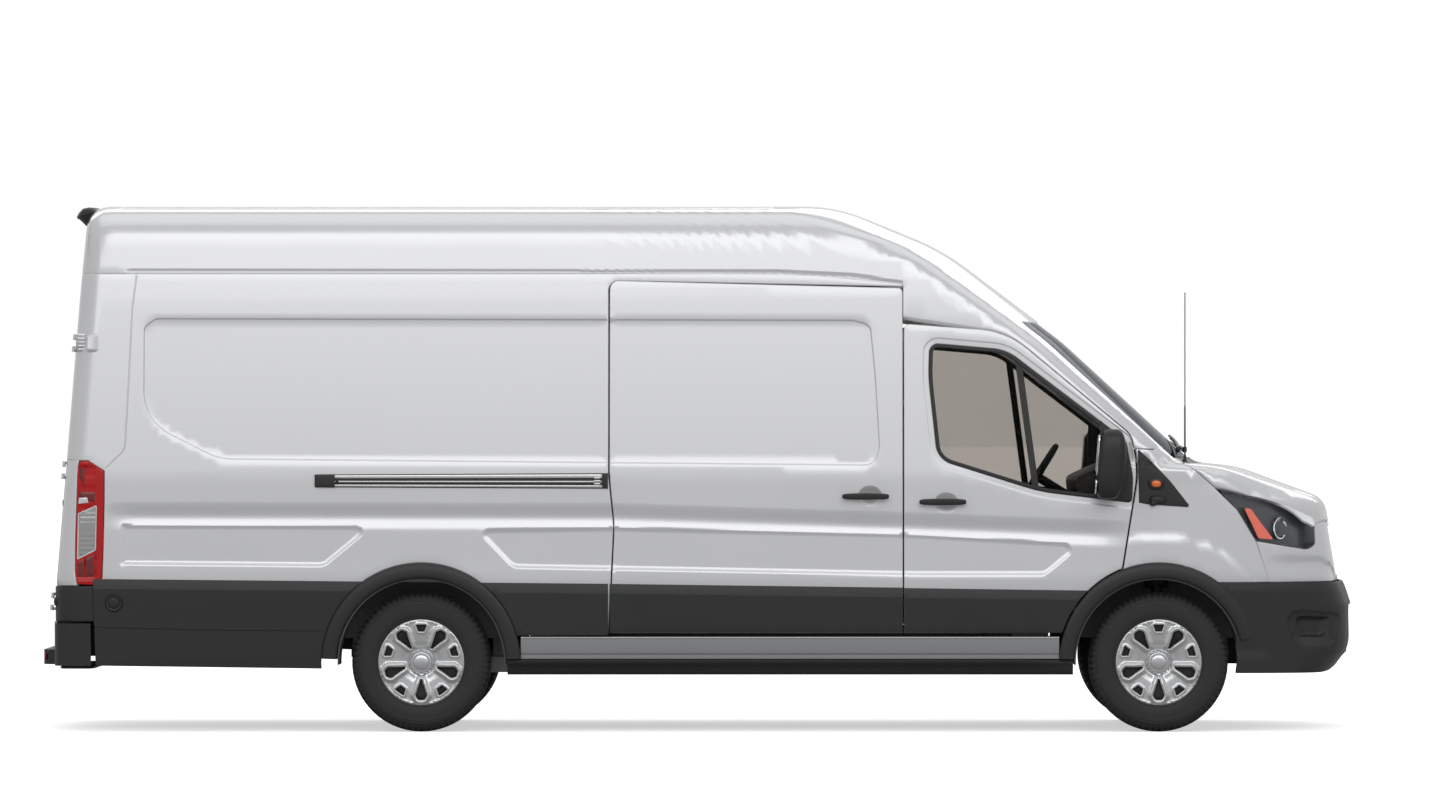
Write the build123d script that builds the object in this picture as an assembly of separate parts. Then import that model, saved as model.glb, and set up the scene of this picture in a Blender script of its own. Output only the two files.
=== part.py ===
# Electric cargo van: long wheelbase, extended body, high roof, sliding door on the right.
# Frame: X forward, Y to the left, Z up, millimetres.
# Origin: on the ground, under the middle of the overall length.
from build123d import *
import os
from functools import lru_cache
from math import atan2, cos, hypot, pi, radians, sin, tan

os.makedirs("parts", exist_ok=True)

# ---------------------------------------------------------------- driving dimensions
# overall
length = 6720
height = 2690
paint_width = 2036
wheelbase = 3750
front_overhang = 1030

# wheels
tyre_diameter = 708
tyre_width = 235
rim_diameter = 406
track = 1740
arch_radius = 428
flare_width = 78
hub_radius = 32

# body shell thicknesses
skin = 22
side_wall = 60
door_depth = 85
roof_wall = 40
glass_thickness = 6
rear_door_depth = 60
hood_depth = 20
corner_radius = 50
stamping_depth = 10
glass_inset = 8
liner_inset = 46

# gaps
shut_gap = 7
joint_gap = 0.5
seat_gap = 0.3
swing_gap = 6

# levels above the ground
underside = 290
rear_lower = 336
sill_top = 504
floor_top = 705
waist = 760
belt = 1300
gutter = 2331
trim_top_rear = 779
trim_top_front = 718
bumper_top = 760
rear_door_bottom = 560
rear_door_top = 2440

# plastic trim, proud of the paint
trim_proud = 12
flare_proud = 22

# mirrors
mirror_reach = 1237
mirror_height = 360

# seats, battery, motor
seat_width = 520
battery_length = 2350
battery_width = 1300
battery_height = 200
motor_size = 420

# ---------------------------------------------------------------- stations
nose_x = length / 2
tail_x = -length / 2
front_axle = nose_x - front_overhang
rear_axle = front_axle - wheelbase
wheel_z = tyre_diameter / 2
wheel_y = track / 2
half = paint_width / 2
flare_radius = arch_radius + flare_width

door_front = front_axle - 108
door_rear = front_axle - 1295
slide_front = door_rear - shut_gap
slide_rear = front_axle - 2792
bow_axis = front_axle - 3130
rear_bow_axis = tail_x + 9000
taper_start = front_axle - 80
taper_radius = 3100
cowl_x = front_axle + 220
hood_rear = front_axle + 262


# ---------------------------------------------------------------- profile helpers
def profile(*corners):
    """A closed face from corner rows (u, v) or (u, v, radius)."""
    rows = [(row + (0,))[:3] for row in corners]
    points = [Vector(row[0], row[1]) for row in rows]
    edges = []
    ends = []
    for index, (point, row) in enumerate(zip(points, rows)):
        before = (points[index - 1] - point).normalized()
        after = (points[(index + 1) % len(points)] - point).normalized()
        if row[2] == 0:
            ends.append((point, point))
            continue
        half_turn = (pi - radians(before.get_angle(after))) / 2
        reach = row[2] * tan(half_turn)
        start = point + before * reach
        end = point + after * reach
        bisector = (before + after).normalized()
        middle = point + bisector * (row[2] / cos(half_turn) - row[2])
        edges.append(ThreePointArc(start, middle, end))
        ends.append((start, end))
    for index, (_, leave) in enumerate(ends):
        arrive = ends[(index + 1) % len(ends)][0]
        if (arrive - leave).length > 1e-4:
            edges.append(Line(leave, arrive))
    return make_face(Wire(edges))


def grown(face, amount):
    """The same face with its edge moved outwards, or inwards when negative."""
    return offset(face, amount=amount, kind=Kind.INTERSECTION) if amount else face


def along_y(face, inner, outer):
    """A side-view (X, Z) face as a prism on the right side, between two distances from the middle."""
    return extrude(Plane.XZ.offset(inner) * face, outer - inner)


def across(face):
    """A side-view face carried right across the body."""
    return extrude(Plane.XZ.offset(-half - 400) * face, 2 * half + 800)


def along_x(face, rear, front):
    """A rear-view (Y, Z) face as a prism between two stations."""
    return extrude(Plane.YZ.offset(rear) * face, front - rear)


def along_z(face, low, high):
    """A plan-view face as a prism between two levels."""
    return extrude(Plane.XY.offset(low) * face, high - low)


def block(x0, x1, y0, y1, z0, z1):
    return Pos((x0 + x1) / 2, (y0 + y1) / 2, (z0 + z1) / 2) * Box(x1 - x0, y1 - y0, z1 - z0)


def turned(face, x, y=0):
    """A side-view face turned round the upright axis at (x, y)."""
    return revolve(Pos(0, y, 0) * (Plane.XZ * face), Axis((x, y, 0), (0, 0, 1)))


def cylinder_y(x, z, radius, y0, y1):
    """A cylinder lying across the body."""
    return extrude(Plane.XZ.offset(-y0) * Pos(x, z) * Circle(radius), y0 - y1)


def left_of(shape):
    return mirror(shape, about=Plane.XZ)


# ---------------------------------------------------------------- outer form
side_rows = [
    (half - 34, waist - 430),
    (half, waist, 1200),
    (half - 20, belt, 1200),
    (half - 108, gutter - 31, 1200),
]
crown_radius = 8000
crown_angle = 4.9
crown_lift = crown_radius * (1 / cos(radians(crown_angle)) - 1)
roof_half = half - 180
roof_edge = height + crown_lift - roof_half * tan(radians(crown_angle))


def section_face():
    """Cross-section of the load space, with its leaning sides and crowned roof."""
    right = [(half - 44, 0)] + side_rows + [(roof_half, roof_edge, 110)]
    left = [(-row[0],) + row[1:] for row in reversed(right)]
    return profile(*right, (0, height + crown_lift, crown_radius), *left)


brow_slope = tan(radians(37))
crest_slope = tan(radians(22.3))
brow_x = front_axle - 461
brow_z = 1996
crest_x = front_axle - 1081
crest_z = brow_z + (brow_x - crest_x) * brow_slope
flat_top = height + 10


def front_face():
    """Middle-plane outline from the roof over the windscreen and hood to the nose."""
    return profile(
        (bow_axis - 300, -60),
        (bow_axis - 300, flat_top),
        (crest_x - (flat_top - crest_z) / crest_slope, flat_top, 1200),
        (crest_x, crest_z, 1200),
        (brow_x, brow_z, 1100),
        (cowl_x, 1370, 120),
        (front_axle + 440, 1348, 600),
        (nose_x - 138, 1182, 110),
        (nose_x - 62, 720, 300),
        (nose_x - 58, -60),
    )


def rear_face():
    """Middle-plane outline of the rear end, leaning in towards the roof."""
    return profile(
        (rear_bow_axis + 300, -80),
        (tail_x + 42, -80),
        (tail_x + 38, 760, 900),
        (tail_x + 158, 2225, 900),
        (tail_x + 205, height + 20, 0),
        (rear_bow_axis + 300, height + 20),
    )


def taper_face():
    """Half of the cross-section up to the middle of the sides, for the narrowing front."""
    right = [(half - 44, 0)] + side_rows + [(half - 180, height + 150)]
    far = -taper_radius + half - 300
    return profile(*right, (far, height + 150), (far, 0))


def inset_half(face, axis_at, inset, sign):
    """The face moved in by the inset all round, then cut off straight at its turning axis."""
    keep = Pos(axis_at + sign * 10000, height / 2) * Rectangle(20000, 4 * height)
    return grown(face, -inset) & keep


def corner_edges(shape):
    """The edges where the sides meet the nose, the windscreen and the tail."""
    def at_corner(edge):
        ends = (edge @ 0, edge @ 1, edge.center())
        middle = ends[2]
        seam = any(abs(point.X - taper_start) < 1 and point.Z < 1400 for point in ends)
        front = middle.X > front_axle - 1200 and not seam
        wide = min(abs(point.Y) for point in ends) > 800
        return wide and middle.Z > 300 and (front or middle.X < tail_x + 260)
    return shape.edges().filter_by(at_corner)


@lru_cache(maxsize=None)
def hull(inset):
    """The closed outer form, moved inwards by the inset (outwards when negative)."""
    centre_y = taper_radius - half
    front = inset_half(front_face(), bow_axis, inset, 1)
    rear = inset_half(rear_face(), rear_bow_axis, inset, -1)
    side = inset_half(taper_face(), -centre_y, inset, 1)
    section = grown(section_face(), -inset)
    bow = turned(front, bow_axis)
    stern = turned(rear, rear_bow_axis)
    barrel = Pos(taper_start, -centre_y, 0) * Rot(0, 0, 200) * turned(Pos(centre_y, 0) * side, 0)
    load_end = along_x(section, tail_x - 50, bow_axis + 500) & stern
    cab_end = along_x(section, bow_axis + 500, taper_start) & bow
    fore = block(taper_start, nose_x + 60, -half - 60, half + 60, 0, height)
    nose = fore & barrel & left_of(barrel) & bow
    whole = load_end + cab_end + nose
    radius = corner_radius - inset
    return fillet(corner_edges(whole), radius) if 20 < radius < 75 else whole


def between(blank, outer, inner):
    """The part of a blank that lies in the wall between two insets of the outer form."""
    return (blank & hull(outer)) - hull(inner)


def one(shape):
    """The largest solid of a cut, as a single piece."""
    return max(shape.solids(), key=lambda solid: solid.volume)


# ---------------------------------------------------------------- side-view outlines
def wheel_circle(axle, radius):
    return Pos(axle, wheel_z) * Circle(radius)


def front_door_outline():
    body = profile(
        (door_rear, sill_top),
        (door_rear, 2076, 30),
        (door_rear + 520, 2036, 420),
        (door_front - 36, 1512, 110),
        (door_front, 1330, 500),
        (door_front - 80, 740),
        (door_front - 80, sill_top),
    )
    return body - wheel_circle(front_axle, flare_radius + shut_gap)


def window_outline():
    return profile(
        (door_rear + 170, 1386, 110),
        (door_rear + 125, 1800, 900),
        (door_rear + 130, 1978, 45),
        (door_rear + 520, 1944, 230),
        (door_front - 60, 1482, 60),
        (door_front - 25, 1300, 300),
        (door_front - 30, 1166, 20),
        (door_rear + 690, 1222, 900),
    )


def slide_outline():
    return profile(
        (slide_rear, sill_top),
        (slide_rear + 26, 1050, 900),
        (slide_rear, 1300, 900),
        (slide_rear, 2296, 45),
        (slide_front, 2258, 25),
        (slide_front, sill_top),
    )


hood_edge = [
    (front_axle + 284, 1252, 30),
    (front_axle + 620, 1170, 700),
    (nose_x - 226, 1092, 60),
    (nose_x - 120, 1072),
    (nose_x + 60, 1066),
]


def lamp_outline():
    """Side view of a headlamp, swept back along the fender."""
    top = [(row[0], row[1] - shut_gap) + row[2:] for row in hood_edge[1:]]
    return profile(
        (front_axle + 290, 1246 - shut_gap, 12),
        *top,
        (nose_x + 60, 930),
        (nose_x - 262, 926, 60),
        (front_axle + 494, 972, 40),
        (front_axle + 400, 1130, 60),
    )


def tail_lamp_outline():
    rear = tail_x + 20
    return profile(
        (rear, 748),
        (rear + 270, 748, 30),
        (rear + 310, 790, 60),
        (rear + 310, 1330, 24),
        (rear + 228, 1378, 40),
        (rear, 1378),
    )


def load_panel_outline():
    """The large shallow stamping in the side of the load space."""
    return profile(
        (tail_x + 524, 2060, 50), (tail_x + 585, 2106, 50), (door_rear - 262, 2098, 80),
        (door_rear - 167, 2075, 50), (door_rear - 142, 1815, 900), (door_rear - 120, 1441, 60),
        (door_rear - 150, 1352, 70), (tail_x + 910, 1384, 300), (tail_x + 524, 1580, 250),
    )


def rear_pocket_outline():
    return profile(
        (tail_x + 400, 825, 30), (rear_axle - 485, 815, 100), (rear_axle - 215, 1045, 50),
        (rear_axle - 340, 1085, 100), (tail_x + 400, 1085, 30),
    )


def long_pocket_outline():
    """Lower stamping from behind the rear wheel arch to the middle of the front door."""
    return profile(
        (rear_axle + 230, 1062, 50), (rear_axle + 458, 805, 100), (door_rear + 725, 770, 100),
        (door_rear + 965, 985, 60), (door_rear, 1035), (slide_rear, 1068),
    )


def gutter_outline():
    """Narrow groove under the roof edge, falling towards the windscreen pillar."""
    return profile(
        (tail_x + 436, gutter - 9), (front_axle - 1850, gutter - 19), (door_rear, gutter - 68),
        (door_rear + 245, gutter - 144), (door_rear + 245, gutter - 138), (door_rear, gutter - 52),
        (front_axle - 1850, gutter - 3), (tail_x + 436, gutter + 6),
    )


@lru_cache(maxsize=None)
def stampings():
    """What the side stampings take away from the outside, on the right side."""
    outlines = [load_panel_outline(), rear_pocket_outline(), long_pocket_outline(), gutter_outline()]
    blanks = [along_y(outline, 600, half + 100) for outline in outlines]
    blanks = blanks[0] + blanks[1] + blanks[2] + blanks[3]
    return blanks - hull(stamping_depth)


def handle_cup(x, z):
    """Round hollow in a door behind its handle."""
    return Pos(x, -half - 22, z) * scale(Sphere(60), (1, 0.75, 0.9))


def above_hood_line():
    """Side-view region that belongs to the hood."""
    return profile(
        (hood_rear - 140, 1395),
        *hood_edge,
        (nose_x + 60, 1600),
        (hood_rear - 140, 1600),
    )


# ---------------------------------------------------------------- body panels
def ring(*corners):
    """A middle-plane outline carried round with the bow of the front."""
    return turned(profile(*corners), bow_axis)


def screen_hole(gap):
    """Front-view opening of the windscreen."""
    return along_x(
        profile(
            (-760 - gap, 2092 + gap, 70),
            (760 + gap, 2092 + gap, 70),
            (866 + gap, 1396 - gap, 50),
            (-866 - gap, 1396 - gap, 50),
        ),
        front_axle - 1100,
        front_axle + 400,
    )


def roof_region(gap):
    """Side view of what lies above the gutter."""
    return profile(
        (tail_x - 80, gutter + gap),
        (front_axle - 1850, gutter + gap, 900),
        (front_axle - 1295, gutter - 54 + gap, 300),
        (front_axle - 1050, gutter - 134 + gap, 300),
        (front_axle - 700, 2080 + gap),
        (front_axle - 300, 2080 + gap),
        (front_axle - 300, height + 100),
        (tail_x - 80, height + 100),
    )


@lru_cache(maxsize=None)
def rear_door_region(gap):
    """Rear-view outline of the right rear door, grown by the gap."""
    return profile(
        (-3.5 + gap, rear_door_bottom - gap),
        (-866 - gap, rear_door_bottom - gap, 30),
        (-866 - gap, 1420),
        (-790 - gap, rear_door_top + gap, 60),
        (-3.5 + gap, rear_door_top + gap),
    )


def rear_door_hole():
    right = along_x(rear_door_region(shut_gap), tail_x - 100, tail_x + 500)
    return right + left_of(right)


def roof_panel():
    top = between(across(roof_region(joint_gap)), 0, roof_wall)
    grooves = [block(tail_x + 360, front_axle - 1950, y - 26, y + 26, 2500, height + 60)
               for y in (-600, -360, -120, 120, 360, 600)]
    blanks = grooves[0].fuse(*grooves[1:]) - hull(stamping_depth - 2)
    edge = across(gutter_outline()) - hull(stamping_depth)
    return one(top - screen_hole(joint_gap) - rear_door_hole() - blanks - edge)


def side_panel(right):
    whole = profile(
        (tail_x - 60, sill_top),
        (door_rear + 300, sill_top),
        (door_rear + 300, 1440),
        (front_axle + 60, 1440),
        (front_axle + 60, height + 100),
        (tail_x - 60, height + 100),
    )
    wall = between(along_y(whole, 300, half + 100), 0, side_wall)
    wall = wall - across(roof_region(0)) - screen_hole(joint_gap)
    wall = wall - left_of(rear_door_hole()) - rear_door_hole()
    wall = wall - across(wheel_circle(rear_axle, flare_radius + seat_gap))
    wall = wall - across(grown(front_door_outline(), shut_gap))
    wall = wall - along_y(grown(tail_lamp_outline(), joint_gap), 600, half + 100) - stampings()
    wall = wall - block(tail_x - 60, tail_x + 262, -half - 60, 0, 0, rear_door_bottom - shut_gap - 0.5)
    if right:
        wall = wall - across(grown(slide_outline(), shut_gap))
    return one(wall - hinge_rooms() + door_post() + body_hinges())


def door_post():
    """Post between the doors, with a striker pad for each door and a tie to the roof edge."""
    inner = half - 170
    low = floor_top + seat_gap
    post = block(door_rear - 80, door_rear + 76, -half, -inner, low, 2160) & hull(door_depth + 7)
    front_pad = block(door_rear + 40, door_rear + 76, -half, -inner, 1000, 1100) & hull(door_depth + seat_gap)
    slide_pad = block(door_rear - 80, door_rear - 44, -half, -inner, 1000, 1100) & hull(door_depth - 15 + seat_gap)
    tie = block(door_rear - 80, door_rear - 12, -half, -inner, 2120, 2320) & hull(roof_wall)
    tie = tie - across(grown(front_door_outline(), shut_gap)) - across(grown(slide_outline(), shut_gap))
    return post + front_pad + slide_pad + tie


def front_door():
    hole = window_outline()
    outer = between(along_y(front_door_outline() - hole, 500, half + 100), 0, skin)
    outer = outer - stampings() - handle_cup(door_rear + 228, 1165)
    inner_outline = grown(front_door_outline(), -34) - grown(hole, 12)
    inner = between(along_y(inner_outline, 500, half + 100), skin, door_depth)
    return one(outer + inner)


def door_glass():
    blank = along_y(grown(window_outline(), -seat_gap), 500, half + 100)
    pane = between(blank, glass_inset, glass_inset + glass_thickness)
    sail = along_y(sail_outline(seat_gap), 500, half + 100)
    return one(pane - sail)


def sail_outline(gap):
    """Side view of the plastic triangle that carries the mirror."""
    return profile(
        (door_front - 190 - gap, 1100),
        (door_front - 190 - gap, 1700),
        (door_front + 100, 1700),
        (door_front + 100, 1100),
    )


def mirror_body():
    """Door mirror: plastic triangle in the window corner, arm and tall head."""
    blank = along_y(grown(window_outline(), -seat_gap) & sail_outline(0), 500, half + 100)
    base = between(blank, glass_inset, hood_depth)
    head = profile((door_front - 196, 1190, 40), (door_front - 210, 1530, 50),
                   (door_front - 90, 1541, 60), (door_front - 62, 1190, 50))
    head = along_y(head, half - 10, mirror_reach)
    head = head & along_x(
        profile((-half + 20, 1180), (-half + 20, 1545), (-mirror_reach, 1545, 60),
                (-mirror_reach, 1180, 60)),
        0, nose_x)
    arm = block(door_front - 160, door_front - 80, -half - 10, -half + 45, 1210, 1290)
    return base + arm + head


def sliding_door():
    outer = between(along_y(slide_outline(), 500, half + 100), 0, skin)
    outer = outer - stampings() - handle_cup(door_rear - 160, 1198)
    inner = between(along_y(grown(slide_outline(), -34), 500, half + 100), skin, door_depth - 15)
    return one(outer + inner)


def fender():
    """Front side panel between the door, the hood and the headlamp."""
    region = profile(
        (front_axle - 94, 1440 - joint_gap),
        (front_axle + 180, 1440 - joint_gap),
        (front_axle + 284, 1252 - joint_gap),
        (front_axle + 284, 1248),
        (front_axle + 400, 1130, 60),
        (front_axle + 494, 972, 40),
        (front_axle + 565, bumper_top + joint_gap),
        (door_front - 80 + shut_gap, bumper_top + joint_gap),
        (door_front + shut_gap, 1330, 500),
    )
    panel = between(along_y(region, 700, half + 100), 0, skin)
    panel = panel - across(wheel_circle(front_axle, flare_radius + seat_gap))
    panel = panel - across(grown(above_hood_line(), shut_gap)) - screen_hole(joint_gap)
    panel = panel - across(grown(lamp_outline(), joint_gap))
    scuttle = ring((cowl_x - 62 - joint_gap, 1200), (cowl_x - 62 - joint_gap, 1500),
                   (hood_rear + 100, 1500), (hood_rear + 100, 1200))
    panel = panel - (scuttle & block(0, nose_x, -800 - joint_gap, 0, 1200, 1500))
    return one(panel)


def hood():
    top = between(across(above_hood_line()), 0, hood_depth)
    reach = ring((hood_rear, 900), (hood_rear, 1500), (nose_x + 50, 1500), (nose_x + 50, 900))
    return one(top & reach)


def cowl():
    reach = ring((cowl_x - 62, 1300), (cowl_x - 62, 1460),
                 (hood_rear - swing_gap, 1460), (hood_rear - swing_gap, 1300))
    strip = between(reach & block(0, nose_x, -800, 800, 1250, 1394), 0, skin)
    return one(strip - antenna_post(seat_gap))


def windscreen():
    blank = screen_hole(0) & block(front_axle - 900, cowl_x, -900, 900, 1395, 2200)
    return one(between(blank, glass_inset, glass_inset + glass_thickness))


# ---------------------------------------------------------------- nose
def grille_hole(gap):
    """Front-view opening of the grille."""
    return along_x(
        profile((-500 - gap, 1040 + gap, 30), (500 + gap, 1040 + gap, 30),
                (430 + gap, 790 - gap, 50), (-430 - gap, 790 - gap, 50)),
        nose_x - 400, nose_x + 60)


def nose_cover():
    """Painted cover between the lamps, the hood and the dark bumper."""
    region = profile(
        (front_axle + 494 + joint_gap, 972),
        (nose_x - 262, 900),
        (nose_x - 262, 1066 - shut_gap),
        (nose_x + 50, 1066 - shut_gap),
        (nose_x + 50, bumper_top + joint_gap),
        (front_axle + 565 + joint_gap, bumper_top + joint_gap),
    )
    skin_part = between(across(region), 0, skin)
    lamp = along_y(grown(lamp_outline(), joint_gap), 560 - joint_gap, half + 100)
    skin_part = skin_part - lamp - left_of(lamp) - grille_hole(joint_gap)
    rest = block(nose_x - 260, nose_x, -480, 480, 1046, 1090) & hull(hood_depth + seat_gap)
    return one(skin_part + (rest - hull(liner_inset)))


def headlamp():
    return one(between(along_y(lamp_outline(), 560, half + 100), 0, door_depth + 7))


bar_count = 5
bar_height = 16
bar_pitch = 48


def grille():
    """Recessed back plate with horizontal bars, uprights and a bare badge place."""
    levels = [818 + index * bar_pitch for index in range(bar_count)]
    bars = [block(nose_x - 400, nose_x, -520, 520, level, level + bar_height) for level in levels]
    bars = bars[0].fuse(*bars[1:])
    for y in (-380, -190, 190, 380):
        bars = bars + block(nose_x - 400, nose_x, y - 5, y + 5, 780, 1060)
    place = block(nose_x - 400, nose_x, -110, 110, 880, 968)
    hole = grille_hole(-seat_gap)
    back = between(hole, side_wall, door_depth - 15)
    front = between(hole, glass_inset, door_depth) & (bars + place)
    return one(back + front)


def slab(inset):
    """The tapering width of the front, without its bowed face."""
    centre_y = taper_radius - half
    side = inset_half(taper_face(), -centre_y, inset, 1)
    barrel = Pos(taper_start, -centre_y, 0) * Rot(0, 0, 200) * turned(Pos(centre_y, 0) * side, 0)
    fore = block(taper_start, nose_x + 60, -half - 60, half + 60, 0, 1500)
    return fore & barrel & left_of(barrel)


def bumper_face(inset):
    return grown(profile(
        (bow_axis - 300, 296),
        (nose_x - 96, 296, 60),
        (nose_x, 420, 200),
        (nose_x, 640, 60),
        (nose_x - 40, bumper_top + 2),
        (bow_axis - 300, bumper_top + 2),
    ), -inset)


def front_bumper():
    reach = Pos(bow_axis + 10000, 0) * Rectangle(20000, 4000)
    outer = turned(bumper_face(0) & reach, bow_axis) & slab(-trim_proud)
    inner = turned(bumper_face(34) & reach, bow_axis) & slab(34)
    shell = (outer - inner) & block(front_axle + 300, nose_x + 10, -half - 100, half + 100, 200, bumper_top)
    for side in (1, -1):
        well = cylinder_y(front_axle, wheel_z, arch_radius, side * 300, side * (half + 100))
        shell = shell - well
    above = Pos(front_axle, 484 - joint_gap + 500) * Rectangle(2000, 1000)
    shell = shell - across(wheel_circle(front_axle, flare_radius + joint_gap) & above)
    mouth = along_x(profile((-560, 640, 40), (560, 640, 40), (500, 400, 50), (-500, 400, 50)),
                    nose_x - 300, nose_x + 60)
    bars = [block(nose_x - 300, nose_x + 20, -570, 570, level, level + 18) for level in (445, 505, 565)]
    layer = turned(bumper_face(14) & reach, bow_axis) - turned(bumper_face(44) & reach, bow_axis)
    shell = (shell - mouth) + (layer & (bars[0] + bars[1] + bars[2]))
    lamp_pocket = along_y(
        profile((nose_x - 220, 628, 25), (nose_x - 20, 634, 25), (nose_x - 30, 500, 25), (nose_x - 190, 492, 25)),
        500, half + 100) - (turned(bumper_face(22) & reach, bow_axis) & slab(10))
    return one(shell - lamp_pocket - left_of(lamp_pocket))


# ---------------------------------------------------------------- rear
hinge_point = Vector(tail_x + 66.5, -half + 126, 760)
hinge_way = Vector(sin(atan2(120, 1465)), sin(radians(2.2)), cos(atan2(120, 1465))).normalized()
hinge_radius = 9


def hinge_place(level):
    """The point of the right rear door's hinge line at a level."""
    return hinge_point + hinge_way * ((level - hinge_point.Z) / hinge_way.Z)


def hinge_barrel(low, high, radius):
    start = hinge_place(low)
    run = Plane(origin=start, z_dir=hinge_way)
    return extrude(run * Circle(radius), (hinge_place(high) - start).length)


def hinge_leaf(low, high, outer_y, inner_y, rear):
    """A plate from the hinge line towards the panel that it is fixed to; rear is how far behind the line it lies."""
    mid = hinge_place((low + high) / 2)
    y0, y1 = sorted((mid.Y + outer_y, mid.Y + inner_y))
    plate = block(mid.X - rear, mid.X - rear + 7, min(y0, mid.Y), max(y1, mid.Y), low, high)
    foot = block(mid.X - rear, mid.X + 34, y0, y1, low, high)
    return plate + foot


hinge_levels = (662, 1330, 1978)


def hinge_rooms():
    """Hollows in the body's corner for the doors' hinge leaves, which lie in them when a door is folded right back."""
    rooms = []
    for level in hinge_levels:
        for low, high in ((level - 45, level - 16), (level + 16, level + 45)):
            mid = hinge_place((low + high) / 2)
            rooms.append(block(mid.X - 20, mid.X + 15, mid.Y - 66, mid.Y + 12, low - 6, high + 6))
    return rooms[0].fuse(*rooms[1:])


def body_hinges():
    """Middle knuckles and pins, on the side panels."""
    shape = None
    for level in hinge_levels:
        leaf = hinge_leaf(level - 8, level + 8, -58, -34, 2)
        part = hinge_barrel(level - 15, level + 15, hinge_radius) + leaf + hinge_barrel(level - 46, level + 46, 4)
        shape = part if shape is None else shape + part
    return shape


def door_hinges():
    """Outer knuckles, on the rear door."""
    shape = None
    for level in hinge_levels:
        for side in (-1, 1):
            low, high = sorted((level + side * 16, level + side * 45))
            leaf_low, leaf_high = sorted((level + side * 30, level + side * 45))
            part = hinge_barrel(low, high, hinge_radius) + hinge_leaf(leaf_low, leaf_high, 58, 34, 8)
            part = part - hinge_barrel(low - 5, high + 5, 4 + seat_gap)
            shape = part if shape is None else shape + part
    return shape


def rear_door():
    """One of the twin rear doors, with its upper and lower stampings."""
    region = rear_door_region(0)
    outer = between(along_x(region, tail_x - 100, tail_x + 500), 0, skin)
    inner = between(along_x(grown(region, -34), tail_x - 100, tail_x + 500), skin, rear_door_depth)
    upper = profile((-110, 1420, 50), (-760, 1420, 50), (-705, 2330, 60), (-110, 2330, 60))
    lower = profile((-110, 760, 50), (-780, 760, 50), (-772, 1300, 50), (-110, 1300, 50))
    blanks = along_x(upper, tail_x - 100, tail_x + 500) + along_x(lower, tail_x - 100, tail_x + 500)
    outer = outer - (blanks - hull(stamping_depth))
    return one(outer + inner + door_hinges())


def tail_lamp():
    lens = between(along_y(tail_lamp_outline(), 600, half + 100), 0, side_wall)
    return one(lens - rear_door_hole())


def rear_bumper():
    top = rear_door_bottom - shut_gap - 1
    corner = (tail_x - 60, tail_x + 260, -half - 60, half + 60)
    wrap = between(block(*corner, rear_lower, top), -trim_proud, skin)
    wrap = wrap - (hull(-seat_gap) & block(*corner, sill_top - seat_gap, top + 100))
    step = along_z(profile((tail_x, -720, 60), (tail_x, 720, 60), (tail_x + 120, 780), (tail_x + 120, -780)),
                   rear_lower + 2, 414)
    return one(wrap + (step - hull(skin)))


def roof_spoiler():
    """Dark moulding with the high brake lamp, on the rear edge of the roof."""
    blank = block(tail_x + 100, tail_x + 290, -240, 240, 2560, height)
    return one(between(blank, -trim_proud, -seat_gap))


# ---------------------------------------------------------------- side trim
def flare(axle):
    arc = wheel_circle(axle, flare_radius) - wheel_circle(axle, arch_radius)
    keep = Pos(axle, 372 + 500) * Rectangle(2000, 1000)
    if axle == front_axle:
        keep = keep - (Pos(axle + 600, 484 - 500) * Rectangle(1200, 1000))
    return one(between(along_y(arc & keep, 600, half + 100), -flare_proud, liner_inset))


def trim_strip(outline):
    return one(between(along_y(outline, 600, half + 100), -trim_proud, -seat_gap))


def rear_trim_outline():
    strip = profile(
        (tail_x + 262, rear_lower),
        (tail_x + 262, trim_top_rear),
        (slide_rear - shut_gap, trim_top_rear - 25),
        (slide_rear - shut_gap, sill_top - 14),
        (rear_axle, sill_top - 14),
        (rear_axle, 318),
    )
    return strip - wheel_circle(rear_axle, flare_radius + seat_gap)


def left_trim_outline():
    """The left side has no sliding door, so its strip runs on to the front door."""
    strip = profile(
        (tail_x + 262, rear_lower),
        (tail_x + 262, trim_top_rear),
        (door_rear - shut_gap, trim_top_rear - 50),
        (door_rear - shut_gap, sill_top - 14),
        (rear_axle, sill_top - 14),
        (rear_axle, 318),
    )
    return strip - wheel_circle(rear_axle, flare_radius + seat_gap)


def slide_trim():
    strip = Pos(0, trim_top_rear - 30 - 500) * Rectangle(20000, 1000)
    return joined(trim_strip(slide_outline() & strip), handle(door_rear - 196, 1198))


def handle(x, z):
    """Bar handle on two posts, just clear of the door."""
    bar = block(x - 120, x + 120, -half - 34, -half - 14, z - 14, z + 14)
    bar = fillet(bar.edges(), 7)
    posts = block(x - 104, x - 76, -half - 20, -half + 60, z - 11, z + 11)
    posts = posts + block(x + 76, x + 104, -half - 20, -half + 60, z - 11, z + 11)
    return one(bar + (posts - hull(-seat_gap)))


def door_trim():
    strip = profile((door_rear - 10, 480), (door_rear - 10, trim_top_rear - 46),
                    (door_front, trim_top_front), (door_front, 480))
    return joined(trim_strip(front_door_outline() & strip), handle(door_rear + 196, 1170))


def sill_trim():
    """Silver box section under the doors."""
    start = rear_axle + flare_radius + seat_gap
    end = front_axle - flare_radius - seat_gap
    face = profile(
        (-half + 22, sill_top - 18 - seat_gap, 10),
        (-half + 30, 372, 12),
        (-half + 130, 372),
        (-half + 130, sill_top - 18 - seat_gap),
    )
    return along_x(face, start, end)


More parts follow.
